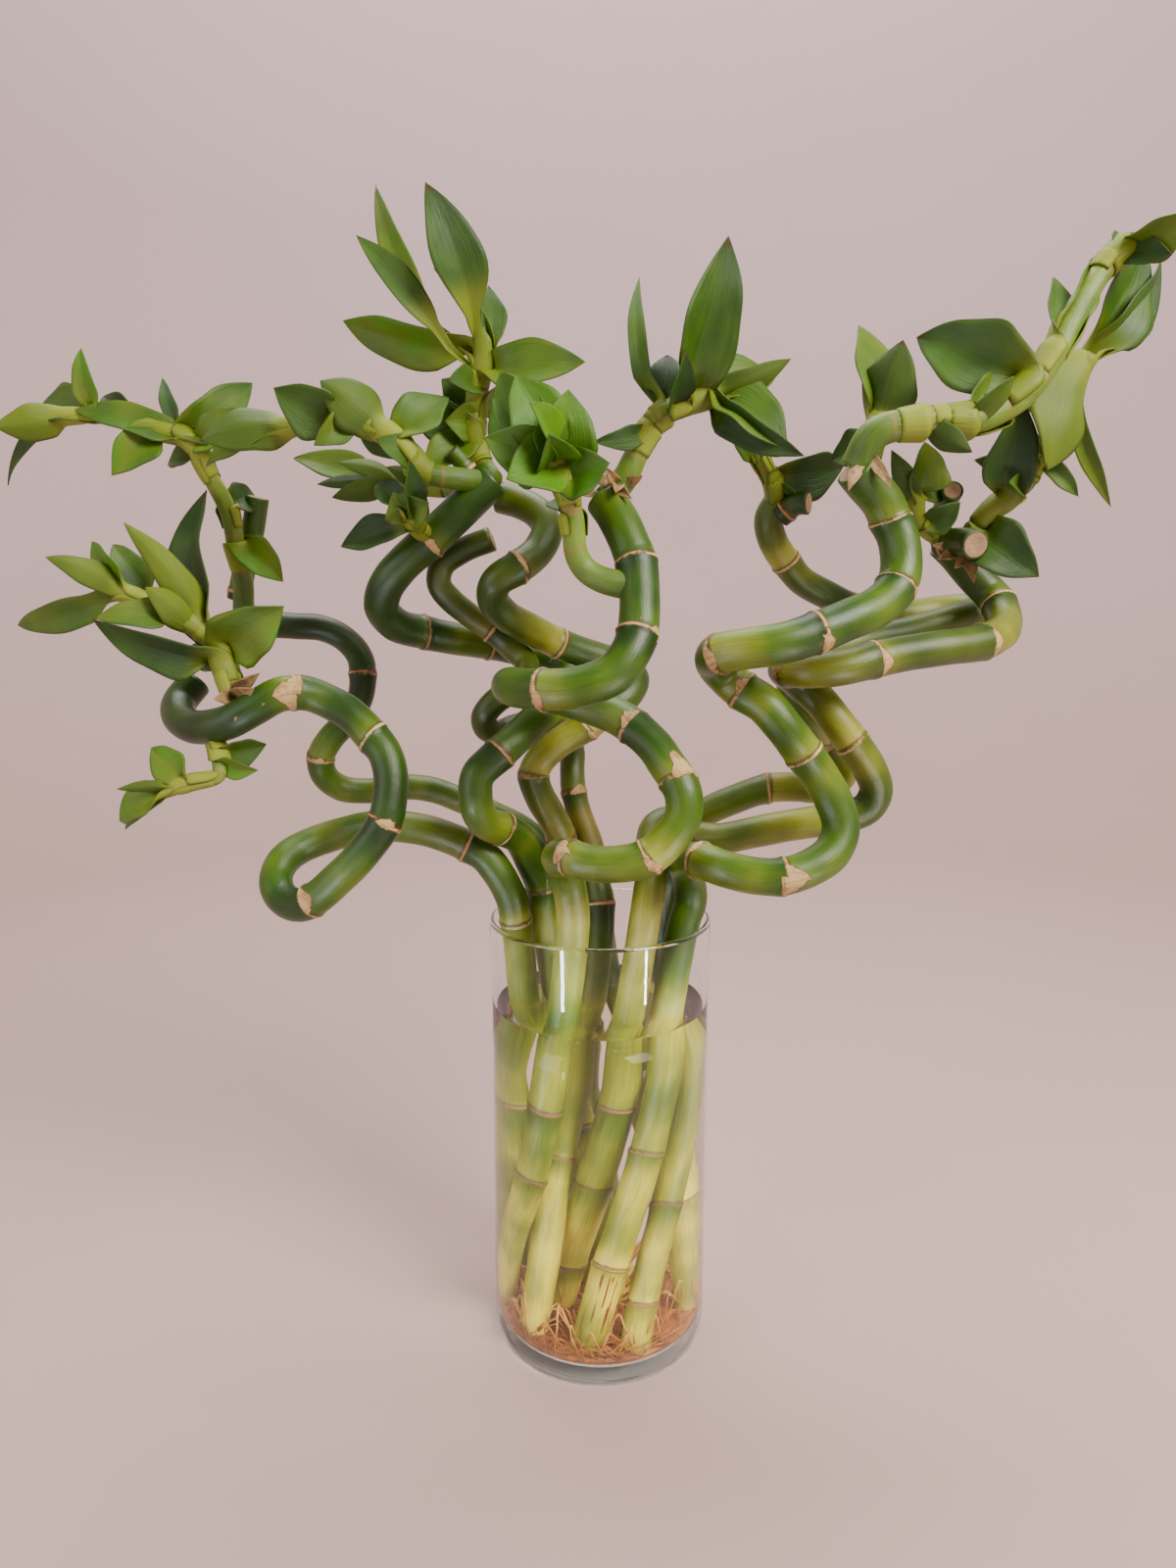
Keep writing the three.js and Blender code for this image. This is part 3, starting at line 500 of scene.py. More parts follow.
# Canes: routes in millimetres from the cut foot to the tip, with the node rings marked. A
# scar is ring number, turn from the viewer's side, length and half width. A stub is points
# and radius. splits is how far up the cracked stretch starts and ends
ring = True
canes = {
    "cane_left_front": {
        "radii": (7.0, 7.3), "skin": "dark",
        "scars": [(4, -20, 6, 8), (5, 20, 3, 6), (7, 0, 9, 11), (7, 110, 5, 8)],
        "route": [
            (-22, 22, 5), (-25, 14, 60), (-29, 8, 110, ring), (-34, 2, 150), (-38, -4, 199, ring),
            (-40, -5, 210), (-47, -5, 223), (-52, -5, 229), (-59, -5, 233, ring), (-68, -5, 237),
            (-79, -3, 240), (-91, 0, 241), (-108, 6, 239), (-123, 6, 235), (-135, 0, 231),
            (-141, -8, 226), (-142, -14, 220), (-138, -20, 214), (-130, -26, 212),
            (-122, -30, 215, ring), (-110, -33, 225), (-100, -33, 235), (-90, -31, 249, ring),
            (-88, -28, 259), (-88, -25, 268), (-91, -22, 277), (-96, -20, 283, ring),
            (-105, -18, 292), (-113, -17, 297), (-122, -18, 301), (-128, -20, 302, ring),
            (-135, -22, 301), (-144, -24, 296), (-153, -24, 291), (-163, -20, 288),
            (-175, -12, 287), (-184, -3, 290), (-188, 7, 296), (-184, 15, 304),
        ],
    },
    "cane_left_back": {
        "radii": (6.6, 6.3), "skin": "dark",
        "scars": [(4, 20, 3, 5)],
        "stubs": [([(-170, 38, 342), (-166, 37, 357), (-161, 35, 372), (-157, 33, 388)], 5.2)],
        "route": [
            (34, -6, 5), (26, 7, 60, ring), (18, 20, 90), (6, 32, 150, ring), (-2, 37, 195),
            (-9, 38, 210), (-24, 40, 220), (-37, 42, 231), (-51, 44, 238), (-68, 46, 245),
            (-83, 48, 250), (-99, 50, 251, ring), (-115, 50, 249), (-127, 46, 251), (-134, 42, 258),
            (-135, 40, 267, ring), (-130, 40, 276), (-122, 42, 285), (-116, 46, 296),
            (-115, 48, 307, ring), (-117, 50, 316), (-124, 50, 324), (-134, 48, 329),
            (-147, 45, 330), (-157, 42, 331), (-168, 39, 335),
        ],
    },
    "cane_left_curl": {
        "radii": (6.9, 7.7), "skin": "dark",
        "scars": [(5, 60, 3, 5), (7, 30, 3, 6)],
        "stubs": [([(-54, -6, 391), (-58, -8, 397), (-62, -10, 401)], 3.6)],
        "route": [
            (4, 14, 5), (-2, 15, 60), (-8, 14, 100, ring), (-18, 12, 150), (-25, 9, 189),
            (-27, 9, 199), (-27, 8, 211, ring), (-31, 4, 223), (-36, -3, 236),
            (-43, -11, 242, ring), (-49, -18, 246), (-52, -22, 252), (-53, -23, 259),
            (-52, -22, 267), (-43, -17, 276, ring), (-34, -10, 284), (-25, -2, 292), (-16, 15, 299),
            (-11, 31, 305), (-14, 43, 312), (-25, 46, 316), (-39, 41, 319), (-52, 34, 322, ring),
            (-66, 26, 324), (-80, 19, 327, ring), (-90, 10, 330), (-95, 2, 337), (-92, -4, 346),
            (-84, -8, 355), (-72, -10, 365, ring), (-63, -10, 373), (-53, -8, 383), (-46, -6, 390),
        ],
    },
    "cane_middle_olive": {
        "radii": (6.9, 6.9), "skin": "olive",
        "scars": [(4, 50, 3, 5)],
        "route": [
            (3, 35, 5), (0, 33, 50), (-5, 31, 100, ring), (-12, 27, 150), (-17, 25, 200),
            (-20, 23, 210), (-19, 17, 222), (-18, 11, 234, ring), (-22, 8, 244), (-27, 7, 253),
            (-30, 7, 263, ring), (-27, 8, 270), (-18, 9, 278), (-6, 11, 285, ring), (4, 13, 293),
            (13, 18, 299), (16, 25, 306), (10, 30, 312), (-2, 27, 316), (-19, 19, 322, ring),
            (-32, 10, 329), (-41, 2, 334), (-46, -5, 341), (-44, -10, 348), (-35, -9, 354, ring),
            (-27, -3, 361), (-23, 3, 371), (-27, 8, 378), (-35, 13, 383), (-44, 16, 386),
        ],
    },
    "cane_brown_back": {
        "radii": (6.5, 5.4), "skin": "brown",
        "scars": [(3, 30, 4, 5)],
        "route": [
            (-28, -23, 5), (-20, -14, 50), (-15, -4, 90, ring), (-4, 2, 150), (1, 10, 202, ring),
            (-1, 13, 211), (-4, 19, 228), (-9, 23, 241), (-12, 26, 252, ring), (-13, 30, 263),
            (-13, 35, 272), (-18, 37, 282), (-29, 29, 286), (-39, 20, 284), (-46, 13, 282),
            (-51, 5, 285), (-51, 0, 291), (-46, -1, 297), (-38, 2, 302), (-34, 7, 306),
            (-33, 14, 313), (-40, 17, 320), (-49, 16, 328, ring), (-59, 14, 335), (-66, 11, 341),
            (-71, 8, 348), (-69, 6, 356), (-60, 5, 362), (-47, 4, 367),
        ],
    },
    "cane_front_spiral": {
        "radii": (7.0, 7.8), "skin": "dark",
        "scars": [
            (3, -35, 3, 6), (4, 30, 3, 6), (5, 40, 11, 6), (6, 20, 4, 6), (7, 25, 3, 8),
            (8, 60, 3, 6),
        ],
        "route": [
            (-36, 3, 5), (-35, -12, 51), (-28, -24, 88, ring), (-22, -26, 122, ring),
            (-12, -22, 199), (-12, -22, 209), (-14, -23, 221), (-17, -29, 231), (-17, -40, 236),
            (-12, -50, 238, ring), (-5, -54, 237), (6, -56, 237), (18, -57, 240, ring),
            (27, -56, 248), (32, -54, 256), (32, -52, 264), (30, -50, 269, ring), (26, -46, 275),
            (21, -41, 282), (13, -36, 289, ring), (4, -30, 294), (-9, -25, 298), (-22, -24, 302),
            (-32, -30, 305), (-36, -43, 306), (-32, -57, 306), (-22, -66, 306, ring),
            (-9, -70, 307), (4, -69, 312), (10, -66, 319), (13, -62, 326, ring), (14, -58, 335),
            (14, -54, 344), (13, -50, 353, ring), (9, -46, 364), (5, -42, 372), (1, -39, 378),
        ],
    },
    "cane_middle_right": {
        "radii": (7.0, 6.6), "skin": "olive",
        "scars": [(5, -50, 3, 5)],
        "stubs": [([(80, 18, 378), (86, 14, 383), (91, 11, 383)], 5.2)],
        "route": [
            (-16, 5, 5), (-11, 0, 38, ring), (-2, -8, 80, ring), (6, -14, 119, ring),
            (11, -19, 150), (18, -22, 196), (20, -20, 209), (22, -14, 220), (23, -4, 225),
            (23, 6, 231), (26, 15, 238), (32, 19, 240), (44, 19, 242), (59, 17, 249),
            (77, 14, 256, ring), (91, 12, 257), (99, 9, 257), (108, 6, 262), (109, 2, 270),
            (103, 1, 279, ring), (93, 3, 290), (86, 6, 299), (87, 12, 307), (93, 16, 313),
            (106, 18, 319), (121, 20, 323), (135, 21, 326), (152, 23, 330), (165, 25, 334),
            (177, 31, 336), (183, 42, 338), (178, 53, 339), (166, 57, 338), (149, 54, 336),
            (133, 48, 337), (118, 43, 340), (106, 39, 345), (94, 35, 351), (86, 31, 359, ring),
            (79, 27, 368), (76, 23, 377), (79, 20, 384),
        ],
    },
    "cane_right_far": {
        "radii": (6.6, 7.4), "skin": "olive",
        "scars": [(5, -20, 3, 6), (6, 10, 5, 7), (7, 10, 3, 6)],
        "stubs": [
            ([(150, 9, 365), (154, -2, 365), (156, -13, 363)], 6.2),
            ([(149, 13, 374), (149, 5, 382), (148, -5, 386)], 4.6),
        ],
        "route": [
            (14, -34, 5), (17, -27, 30, ring), (25, -14, 70, ring), (29, -5, 95), (33, 8, 150),
            (31, 15, 190), (33, 16, 202), (35, 16, 211), (37, 13, 221), (42, 7, 230),
            (46, 2, 235, ring), (54, -3, 236), (73, -8, 241), (90, -12, 245), (106, -14, 248),
            (115, -15, 252), (118, -17, 260), (114, -19, 270), (106, -21, 281, ring),
            (98, -21, 291), (92, -18, 299), (84, -17, 306), (77, -22, 311), (76, -31, 312, ring),
            (83, -39, 312), (95, -41, 313), (108, -38, 316, ring), (125, -33, 319), (142, -29, 321),
            (157, -23, 323, ring), (169, -13, 327), (174, -3, 332), (175, 6, 339, ring),
            (172, 11, 345), (165, 12, 352), (157, 12, 361), (151, 11, 366),
        ],
    },
    "cane_right_front": {
        "radii": (7.0, 8.0), "skin": "dark", "splits": (12, 44),
        "scars": [
            (3, -60, 3, 6), (4, 5, 9, 8), (6, 10, 5, 5), (7, 0, 2.5, 7), (8, 45, 4, 8),
            (9, 80, 5, 6),
        ],
        "route": [
            (-7, -33, 5), (4, -30, 50, ring), (18, -23, 100, ring), (28, -15, 150), (38, -4, 198),
            (41, -2, 207), (40, -4, 217), (38, -10, 224), (37, -24, 231), (41, -37, 234, ring),
            (48, -45, 233), (60, -50, 231), (72, -52, 231, ring), (83, -50, 234), (93, -46, 240),
            (97, -42, 249), (94, -40, 260), (88, -40, 270), (81, -42, 279, ring), (72, -45, 290),
            (64, -44, 299), (56, -41, 304, ring), (49, -40, 310), (44, -46, 316),
            (45, -56, 319, ring), (54, -62, 321), (67, -64, 323), (80, -61, 327, ring),
            (94, -56, 332), (106, -50, 337), (114, -44, 344, ring), (117, -40, 353),
            (116, -38, 363), (113, -37, 370, ring), (109, -38, 377), (102, -40, 384),
            (97, -42, 389),
        ],
    },
}

caneLook = {
    "step": 1.6, "sides": 24, "lumps": 0.22,
    "ringProfile": [(0.55, 0, 1), (0.3, 0, 5), (-0.18, 2.4, 1.1)],  # rise, place and width
    "ringReach": 16, "ringLean": 0.16, "farFromRing": 20,
    "splitTurn": 0.9, "scarEdge": 3,
    "footHeight": 8.35,
    "cutInsets": [(0.9, 0.25), (0.2, 0), (2.2, -0.4)],  # width and depth
    "stubStep": 1.2, "stubSides": 18, "stubRing": 4, "stubTone": 0.2,
    "toneWander": 0.5, "wanderScale": 0.03,
}

# tones run from foot to tip, from 0, dark green, to 1, pale yellow-green
caneSkins = {
    "dark": {
        "slot": "cane_dark_green", "tones": (0.8, 0.7, 0.5, 0.4, 0.3),
        "bark": [(0.0, (0.008, 0.030, 0.001)), (0.25, (0.018, 0.064, 0.0015)),
                 (0.5, (0.055, 0.125, 0.0022)), (0.75, (0.16, 0.22, 0.011)),
                 (1.0, (0.37, 0.41, 0.065))],
        "stripe": (0.07, 0.14, 0.005),
    },
    "olive": {
        "slot": "cane_olive", "tones": (0.8, 0.7, 0.6, 0.5, 0.4),
        "bark": [(0.0, (0.010, 0.032, 0.0015)), (0.25, (0.026, 0.065, 0.002)),
                 (0.5, (0.075, 0.120, 0.004)), (0.75, (0.19, 0.215, 0.014)),
                 (1.0, (0.40, 0.39, 0.065))],
        "stripe": (0.12, 0.11, 0.006),
    },
    "brown": {
        "slot": "cane_brown", "tones": (0.8, 0.6, 0.5, 0.4, 0.4),
        "bark": [(0.0, (0.011, 0.029, 0.0015)), (0.25, (0.027, 0.058, 0.0025)),
                 (0.5, (0.072, 0.108, 0.005)), (0.75, (0.19, 0.165, 0.016)),
                 (1.0, (0.36, 0.28, 0.05))],
        "stripe": (0.13, 0.07, 0.012),
    },
}

# What all canes share. waterLine and footFade are heights in metres
barkParts = {
    "wet": [(0.0, (0.012, 0.040, 0.0008)), (0.35, (0.075, 0.125, 0.003)),
            (0.7, (0.28, 0.29, 0.010)), (1.0, (0.70, 0.58, 0.045))],
    "waterLine": (0.163, 0.156), "footFade": (0.12, 0.02),
    "ring": (0.38, 0.21, 0.07), "ringPale": (0.62, 0.44, 0.21),
    "ringEdge": (0.07, 0.032, 0.008), "ringWet": (0.20, 0.10, 0.02),
    "scar": (0.50, 0.36, 0.16), "scarDark": (0.27, 0.14, 0.045), "split": (0.15, 0.030, 0.002),
    "cutWood": [(0.0, (0.14, 0.075, 0.035)), (0.5, (0.34, 0.21, 0.12)), (1.0, (0.60, 0.42, 0.28))],
    "shine": 0.4,
}


# How far a node ring stands out of the bark, so many millimetres above it
def ringRise(gap):
    return sum(rise * math.exp(-((gap - place) / width) ** 2)
               for rise, place, width in caneLook["ringProfile"])


def buildCane(cane):
    look = caneLook
    points, marks = evenPoints([Vector(point[:3]) for point in cane["route"]], look["step"])
    stations = stationsThrough(points)
    length = stations[-1].along
    rings = [mark for mark, point in zip(marks, cane["route"]) if len(point) > 3]
    scars = [(rings[number - 1], math.radians(turn), long, wide)
             for number, turn, long, wide in cane["scars"]]
    footRadius, tipRadius = cane["radii"]
    splitFrom, splitTo = cane.get("splits", (0, 0))
    bm = bmesh.new()
    layers = addLayers(bm, ["grain"], ["fromRing", "nearRing", "tone", "scar", "split"])

    def thickness(station):
        return footRadius + (tipRadius - footRadius) * station.along / length

    # rings lean a little, each its own way
    def fromMark(station, outward, mark):
        lean = look["ringLean"] * math.sin(mark * 1.7)
        return station.along - mark + lean * outward.dot(station.side) * thickness(station)

    def reach(station, outward):
        lumps = look["lumps"] * noise.noise((station.centre + outward * 7) * 0.09)
        return thickness(station) + lumps + sum(
            ringRise(fromMark(station, outward, mark)) for mark in rings
            if abs(station.along - mark) < look["ringReach"])

    def note(vert, station, turn, outward):
        nearest = min([fromMark(station, outward, mark) for mark in rings], key=abs)
        viewer = squareTo(viewerSide, station.heading).normalized()
        angle = math.atan2(outward.dot(station.heading.cross(viewer)), outward.dot(viewer))
        cracked = splitFrom < station.along < splitTo and abs(angle) < look["splitTurn"]
        vert[layers["grain"]] = grainAt(station, turn)
        vert[layers["fromRing"]] = clamp(nearest, -look["farFromRing"], look["farFromRing"])
        vert[layers["nearRing"]] = min(look["farFromRing"], abs(nearest))
        wander = look["toneWander"] * noise.noise(station.centre * look["wanderScale"])
        fade = toneAlong(caneSkins[cane["skin"]]["tones"], station.along / length)
        vert[layers["tone"]] = clamp(fade + wander)
        vert[layers["split"]] = float(cracked)
        for mark, middle, long, wide in scars:
            up = fromMark(station, outward, mark)
            turned = abs((angle - middle + math.pi) % (2 * math.pi) - math.pi)
            inside = wide * (1 - max(0, up) / long) - turned * thickness(station)
            if -1 < up < long:
                torn = clamp(0.5 + inside / look["scarEdge"])
                vert[layers["scar"]] = max(vert[layers["scar"]], torn)

    def noteStub(vert, station, turn, outward):
        vert[layers["grain"]] = grainAt(station, turn)
        vert[layers["fromRing"]] = station.along - look["stubRing"]
        vert[layers["nearRing"]] = abs(station.along - look["stubRing"])
        vert[layers["tone"]] = look["stubTone"]

    rolledTube(bm, stations, look["sides"], reach, note)
    for route, radius in cane.get("stubs", []):
        stub = evenPoints([Vector(point) for point in route], look["stubStep"])[0]
        rolledTube(bm, stationsThrough(stub), look["stubSides"],
                   lambda station, outward: radius + ringRise(station.along - look["stubRing"]),
                   noteStub)
    everything = bm.verts[:] + bm.edges[:] + bm.faces[:]
    bmesh.ops.bisect_plane(bm, geom=everything, dist=1e-6, plane_co=(0, 0, look["footHeight"]),
                           plane_no=(0, 0, 1), clear_inner=True)
    cuts = capEnds(bm)
    for width, depth in look["cutInsets"]:
        bmesh.ops.inset_individual(bm, faces=cuts, thickness=width, depth=depth)
    for edge in [edge for face in cuts for edge in face.edges]:
        for face in edge.link_faces:
            face.material_index = 1
    return bm


cutWood = cutFinish("cut_wood", barkParts)
barks = {name: caneFinish("bark_" + name, {**skin, **barkParts})
         for name, skin in caneSkins.items()}
for caneName, cane in canes.items():
    finishPiece(caneName + "_bark", toMetres(buildCane(cane)), [barks[cane["skin"]], cutWood],
                caneName)
print("canes are grown")


# Shoots: a soft stem from cane to bud. A leaf is its place on the stem
# from 0 to 1, tip, width, turn and, where it has a narrow neck, the share of that. A husk is
# given as a leaf. fresh makes the leaves lighter, or says that they are a rosette
shoots = {
    "shoot_left_long": {
        "radii": (5.0, 2.5), "fresh": 0.1,
        "stem": [
            (-49, -7, 389), (-59, -17, 389), (-72, -22, 391), (-82, -24, 403), (-96, -24, 410),
            (-113, -22, 410), (-129, -20, 408),
        ],
        "leaves": [
            (0.44, (-62, -14, 422), 18, -15), (0.51, (-108, -36, 423), 20, 20),
            (0.73, (-127, -34, 420), 20, -24), (0.63, (-85, -12, 397), 8, 40),
            (0.97, (-166, -8, 396), 14, 30), (0.93, (-160, -27, 403), 18, 18),
            (0.35, (-88, -32, 402), 12, 30), (0.68, (-112, -34, 399), 10, -20),
            (0.85, (-122, 4, 427), 12, 70),
        ],
    },
    "shoot_left_wave": {
        "radii": (5.0, 2.2), "fresh": 0.2,
        "stem": [
            (-168, 38, 336), (-165, 31, 350), (-165, 26, 362), (-167, 22, 381), (-173, 16, 397),
            (-177, 12, 408), (-192, 10, 414), (-211, 8, 419), (-231, 6, 418),
        ],
        "leaves": [
            (0.62, (-154, 26, 437), 16, 18), (0.64, (-192, 20, 438), 5, 20),
            (0.58, (-224, 2, 421), 13, 22), (0.55, (-152, 2, 421), 12, -14),
            (0.62, (-143, 19, 412), 11, -20), (0.68, (-208, 0, 393), 15, -12),
            (0.77, (-221, 24, 431), 9, 20), (0.87, (-219, 3, 445), 10, -15),
            (0.89, (-248, 20, 425), 20, 32), (0.97, (-252, -7, 411), 14, -24),
            (0.94, (-269, 25, 393), 6, 20), (0.25, (-143, 19, 350), 15, -20),
            (0.37, (-160, 40, 390), 14, 18), (0.53, (-195, 26, 402), 9, 20),
        ],
    },
    "shoot_left_tip": {
        "radii": (5.5, 2.2), "fresh": 0.25,
        "stem": [
            (-151, -20, 293), (-157, -13, 304), (-161, -9, 314), (-163, -10, 322), (-174, -14, 332),
            (-187, -16, 339), (-200, -16, 344),
        ],
        "husks": [
            (0.1, (-142, -31, 304), 7, 10), (0.12, (-158, -30, 300), 6, 0),
            (0.05, (-150, -33, 292), 6, 30), (0.15, (-140, -29, 310), 5, 20),
            (0.05, (-138, -31, 298), 6, 0),
        ],
        "leaves": [
            (0.42, (-176, 14, 390), 28, -30), (0.38, (-131, -22, 337), 24, 22),
            (0.54, (-183, -30, 345), 13, 30), (0.67, (-203, -33, 333), 12, 20),
            (0.92, (-262, 10, 329), 12, -15), (0.93, (-225, -26, 358), 11, 32),
            (0.92, (-216, -7, 365), 13, -24), (0.77, (-212, 4, 366), 12, 26),
            (0.25, (-184, 4, 320), 10, 20), (0.46, (-192, -27, 371), 12, 18),
            (0.34, (-163, 24, 329), 14, 50), (0.33, (-208, -27, 331), 17, -24),
        ],
    },
    "shoot_left_low": {
        "radii": (4.0, 2.0), "fresh": 0.45,
        "stem": [
            (-167, -17, 287), (-161, -22, 276), (-160, -26, 268), (-171, -28, 265),
            (-182, -28, 262),
        ],
        "leaves": [
            (0.72, (-191, -19, 279), 13, 12), (0.86, (-199, -35, 263), 4, -15),
            (0.95, (-205, -23, 248), 15, 32), (0.8, (-207, -16, 243), 8, 30),
            (0.25, (-144, -11, 279), 12, 26), (0.35, (-143, -28, 270), 8, 20),
        ],
    },
    "shoot_curl_side": {
        "radii": (3.6, 2.0),
        "stem": [(-71, -12, 366), (-76, -24, 371), (-78, -30, 377)],
        "leaves": [
            (0.42, (-110, -10, 363), 13, 22), (0.69, (-82, -34, 381), 15, -12),
            (0.79, (-68, -36, 377), 13, 12), (0.9, (-91, -22, 387), 10, 20),
            (0.66, (-74, -38, 393), 9, 50),
        ],
    },
    "shoot_curl_tip": {
        "radii": (4.2, 2.0),
        "stem": [(-50, -5, 386), (-57, 6, 387), (-70, 12, 389), (-85, 16, 392), (-97, 18, 392)],
        "leaves": [
            (0.92, (-141, 33, 407), 13, 26), (0.8, (-113, 6, 400), 8, 30),
            (0.97, (-123, 8, 391), 6, 18), (0.84, (-116, 6, 384), 10, -30),
            (0.59, (-91, 2, 397), 7, 20), (0.67, (-80, 22, 373), 9, 20),
        ],
    },
    "shoot_top_left": {
        "radii": (5.2, 2.6), "fresh": 0.12,
        "stem": [
            (-46, -5, 390), (-51, 2, 399), (-54, 2, 411), (-52, 0, 427), (-48, -2, 442),
            (-49, -4, 451),
        ],
        "leaves": [
            (0.66, (-100, 25, 520), 10, -20, 0.36), (0.62, (-95, -22, 481), 11, 18, 0.42),
            (0.84, (-111, 9, 457), 17, -30, 0.1), (0.72, (-66, -30, 496), 19, 22, 0.34),
            (0.36, (-79, -6, 420), 18, -14), (0.3, (-74, -10, 395), 16, 20),
            (0.48, (-66, -4, 431), 15, 25), (0.92, (-71, 12, 481), 8, 20),
            (0.84, (-47, 8, 472), 10, 20), (0.7, (-7, -14, 436), 20, -15),
            (0.64, (-61, -18, 427), 12, 20), (0.44, (-64, -10, 413), 15, -24),
            (0.52, (-40, 26, 431), 14, 50),
        ],
    },
    "shoot_centre": {
        "radii": (5.4, 3.4), "fresh": leafKinds["rosette"],
        "stem": [
            (11, -54, 344), (-1, -54, 347), (-7, -54, 351), (-10, -55, 357), (-11, -56, 369),
            (-14, -58, 380), (-19, -60, 390),
        ],
        "leaves": [
            (0.89, (-40, -43, 424), 24, -30), (0.94, (-31, -64, 418), 22, 10),
            (0.93, (-12, -67, 412), 22, 22), (0.84, (2, -68, 387), 19, -12),
            (0.92, (-33, -80, 380), 22, 12), (0.96, (-42, -70, 395), 20, -15),
            (0.98, (-24, -84, 404), 15, 60), (0.88, (-10, -36, 405), 17, 30),
            (0.97, (-18, -84, 393), 15, 30), (0.9, (-40, -60, 411), 18, 10),
            (0.64, (-20, -44, 377), 8, 30),
        ],
    },
    "shoot_top_middle": {
        "radii": (5.6, 3.0),
        "stem": [
            (2, -39, 378), (9, -40, 386), (13, -40, 394), (20, -40, 406), (30, -40, 412),
            (40, -38, 416),
        ],
        "husks": [
            (0.1, (-6, -47, 384), 3, 10), (0.12, (1, -52, 388), 3, 0), (0.1, (15, -49, 385), 3, 30),
            (0.08, (11, -50, 377), 3, 0), (0.06, (-7, -44, 379), 3, 40), (0.1, (5, -52, 379), 4, 0),
        ],
        "leaves": [
            (0.6, (14, -20, 467), 6, -15), (0.79, (46, -58, 466), 24, 32),
            (0.69, (25, -30, 434), 13, -24), (0.96, (46, -20, 448), 13, 40),
            (0.94, (69, -25, 427), 17, -20), (0.98, (71, -45, 428), 9, 18),
            (0.97, (69, -52, 395), 23, -30), (0.98, (74, -55, 391), 12, 30),
            (0.55, (-3, -52, 397), 7, -12), (0.68, (30, -62, 426), 12, 60),
        ],
    },
    "shoot_right_back": {
        "radii": (4.4, 2.2),
        "stem": [(78, 20, 384), (74, 11, 393), (67, 6, 403), (62, 4, 412)],
        "leaves": [
            (0.41, (109, 21, 399), 20, 32), (0.62, (56, -2, 417), 12, -24),
            (0.66, (80, 16, 416), 11, 20), (0.87, (53, 12, 425), 9, 30),
            (0.33, (92, 22, 381), 10, 40), (0.83, (68, 24, 432), 10, 40),
        ],
    },
    "shoot_right_pair": {
        "radii": (3.6, 2.5),
        "stem": [(104, -38, 382), (106, -31, 392), (109, -24, 404), (111, -20, 413)],
        "leaves": [
            (0.82, (106, -8, 452), 17, 18), (0.88, (116, -31, 439), 21, -30),
            (0.97, (116, -8, 443), 5, 22), (0.64, (94, -14, 397), 13, 20),
        ],
    },
    "shoot_right_long": {
        "radii": (6.2, 4.2),
        "stem": [
            (97, -42, 389), (103, -46, 401), (120, -46, 405), (143, -44, 407), (160, -42, 417),
            (172, -38, 432), (182, -34, 450), (194, -30, 467), (204, -28, 475),
        ],
        "husks": [(0.04, (92, -52, 380), 4, 30), (0.04, (108, -52, 380), 3, 10)],
        "leaves": [
            (0.51, (123, -25, 442), 26, -10), (0.63, (176, -26, 464), 12, 18),
            (0.7, (194, -20, 473), 10, 20), (0.31, (152, -36, 426), 12, 22),
            (0.33, (150, -56, 419), 7, 20), (0.43, (120, -30, 402), 7, 30),
            (0.92, (199, -24, 481), 7, 20), (0.97, (215, -52, 478), 14, 32),
            (0.21, (135, -58, 392), 9, 40), (0.97, (210, -44, 465), 10, 20),
        ],
    },
    "shoot_right_side": {
        "radii": (4.2, 2.4), "fresh": 0.1,
        "stem": [
            (162, 10, 356), (159, 2, 368), (164, -4, 377), (177, -8, 388), (182, -12, 404),
            (188, -14, 423), (197, -14, 438),
        ],
        "husks": [
            (0.08, (144, -4, 358), 5, 20), (0.1, (150, -8, 354), 6, 0),
            (0.12, (158, -8, 348), 5, 30), (0.1, (142, 0, 364), 4, 0), (0.1, (164, -6, 354), 5, 20),
        ],
        "leaves": [
            (0.96, (179, -28, 391), 31, -24), (0.97, (223, -4, 483), 27, 26),
            (0.98, (231, -3, 478), 16, 30), (0.83, (220, 2, 379), 6, 18),
            (0.53, (160, 6, 400), 7, -30), (0.57, (196, -16, 382), 6, 22),
            (0.32, (168, -24, 417), 19, -12), (0.2, (182, -16, 350), 21, 12),
            (0.4, (165, -22, 387), 9, 20), (0.74, (182, 14, 422), 12, 50),
        ],
    },
    "shoot_right_inner": {
        "radii": (3.4, 2.0),
        "stem": [(150, 11, 366), (143, 4, 369), (134, -3, 376), (131, -8, 386)],
        "leaves": [
            (0.85, (133, -14, 404), 19, 22), (0.8, (117, -22, 399), 9, -12),
            (0.5, (149, -12, 380), 11, 12), (0.55, (153, 8, 377), 10, 30),
            (0.88, (149, 6, 397), 11, 30),
        ],
    },
}

leafLook = {
    "columns": 10, "rows": 24, "thickness": 0.5,
    "tipTrim": 0.994, "fuller": 1.8,
    "fold": 0.24, "baseFold": 1.2, "cup": 0.10,
    "arch": 0.07, "curl": 0.05, "bow": 0.05, "wave": 0.05, "uneven": 0.07,
    "swell": 0.84, "roundness": 0.88, "baseWidth": 0.4, "neckWidth": 0.27, "leastWidth": 0.012,
    "widestAt": (0.8, 0.22),  # a power, and how much is added by chance
    "sheath": 11, "sheathShare": 0.4, "clasp": 0.28, "wrap": 128, "flare": 0.12, "huskFoot": 0.01,
}

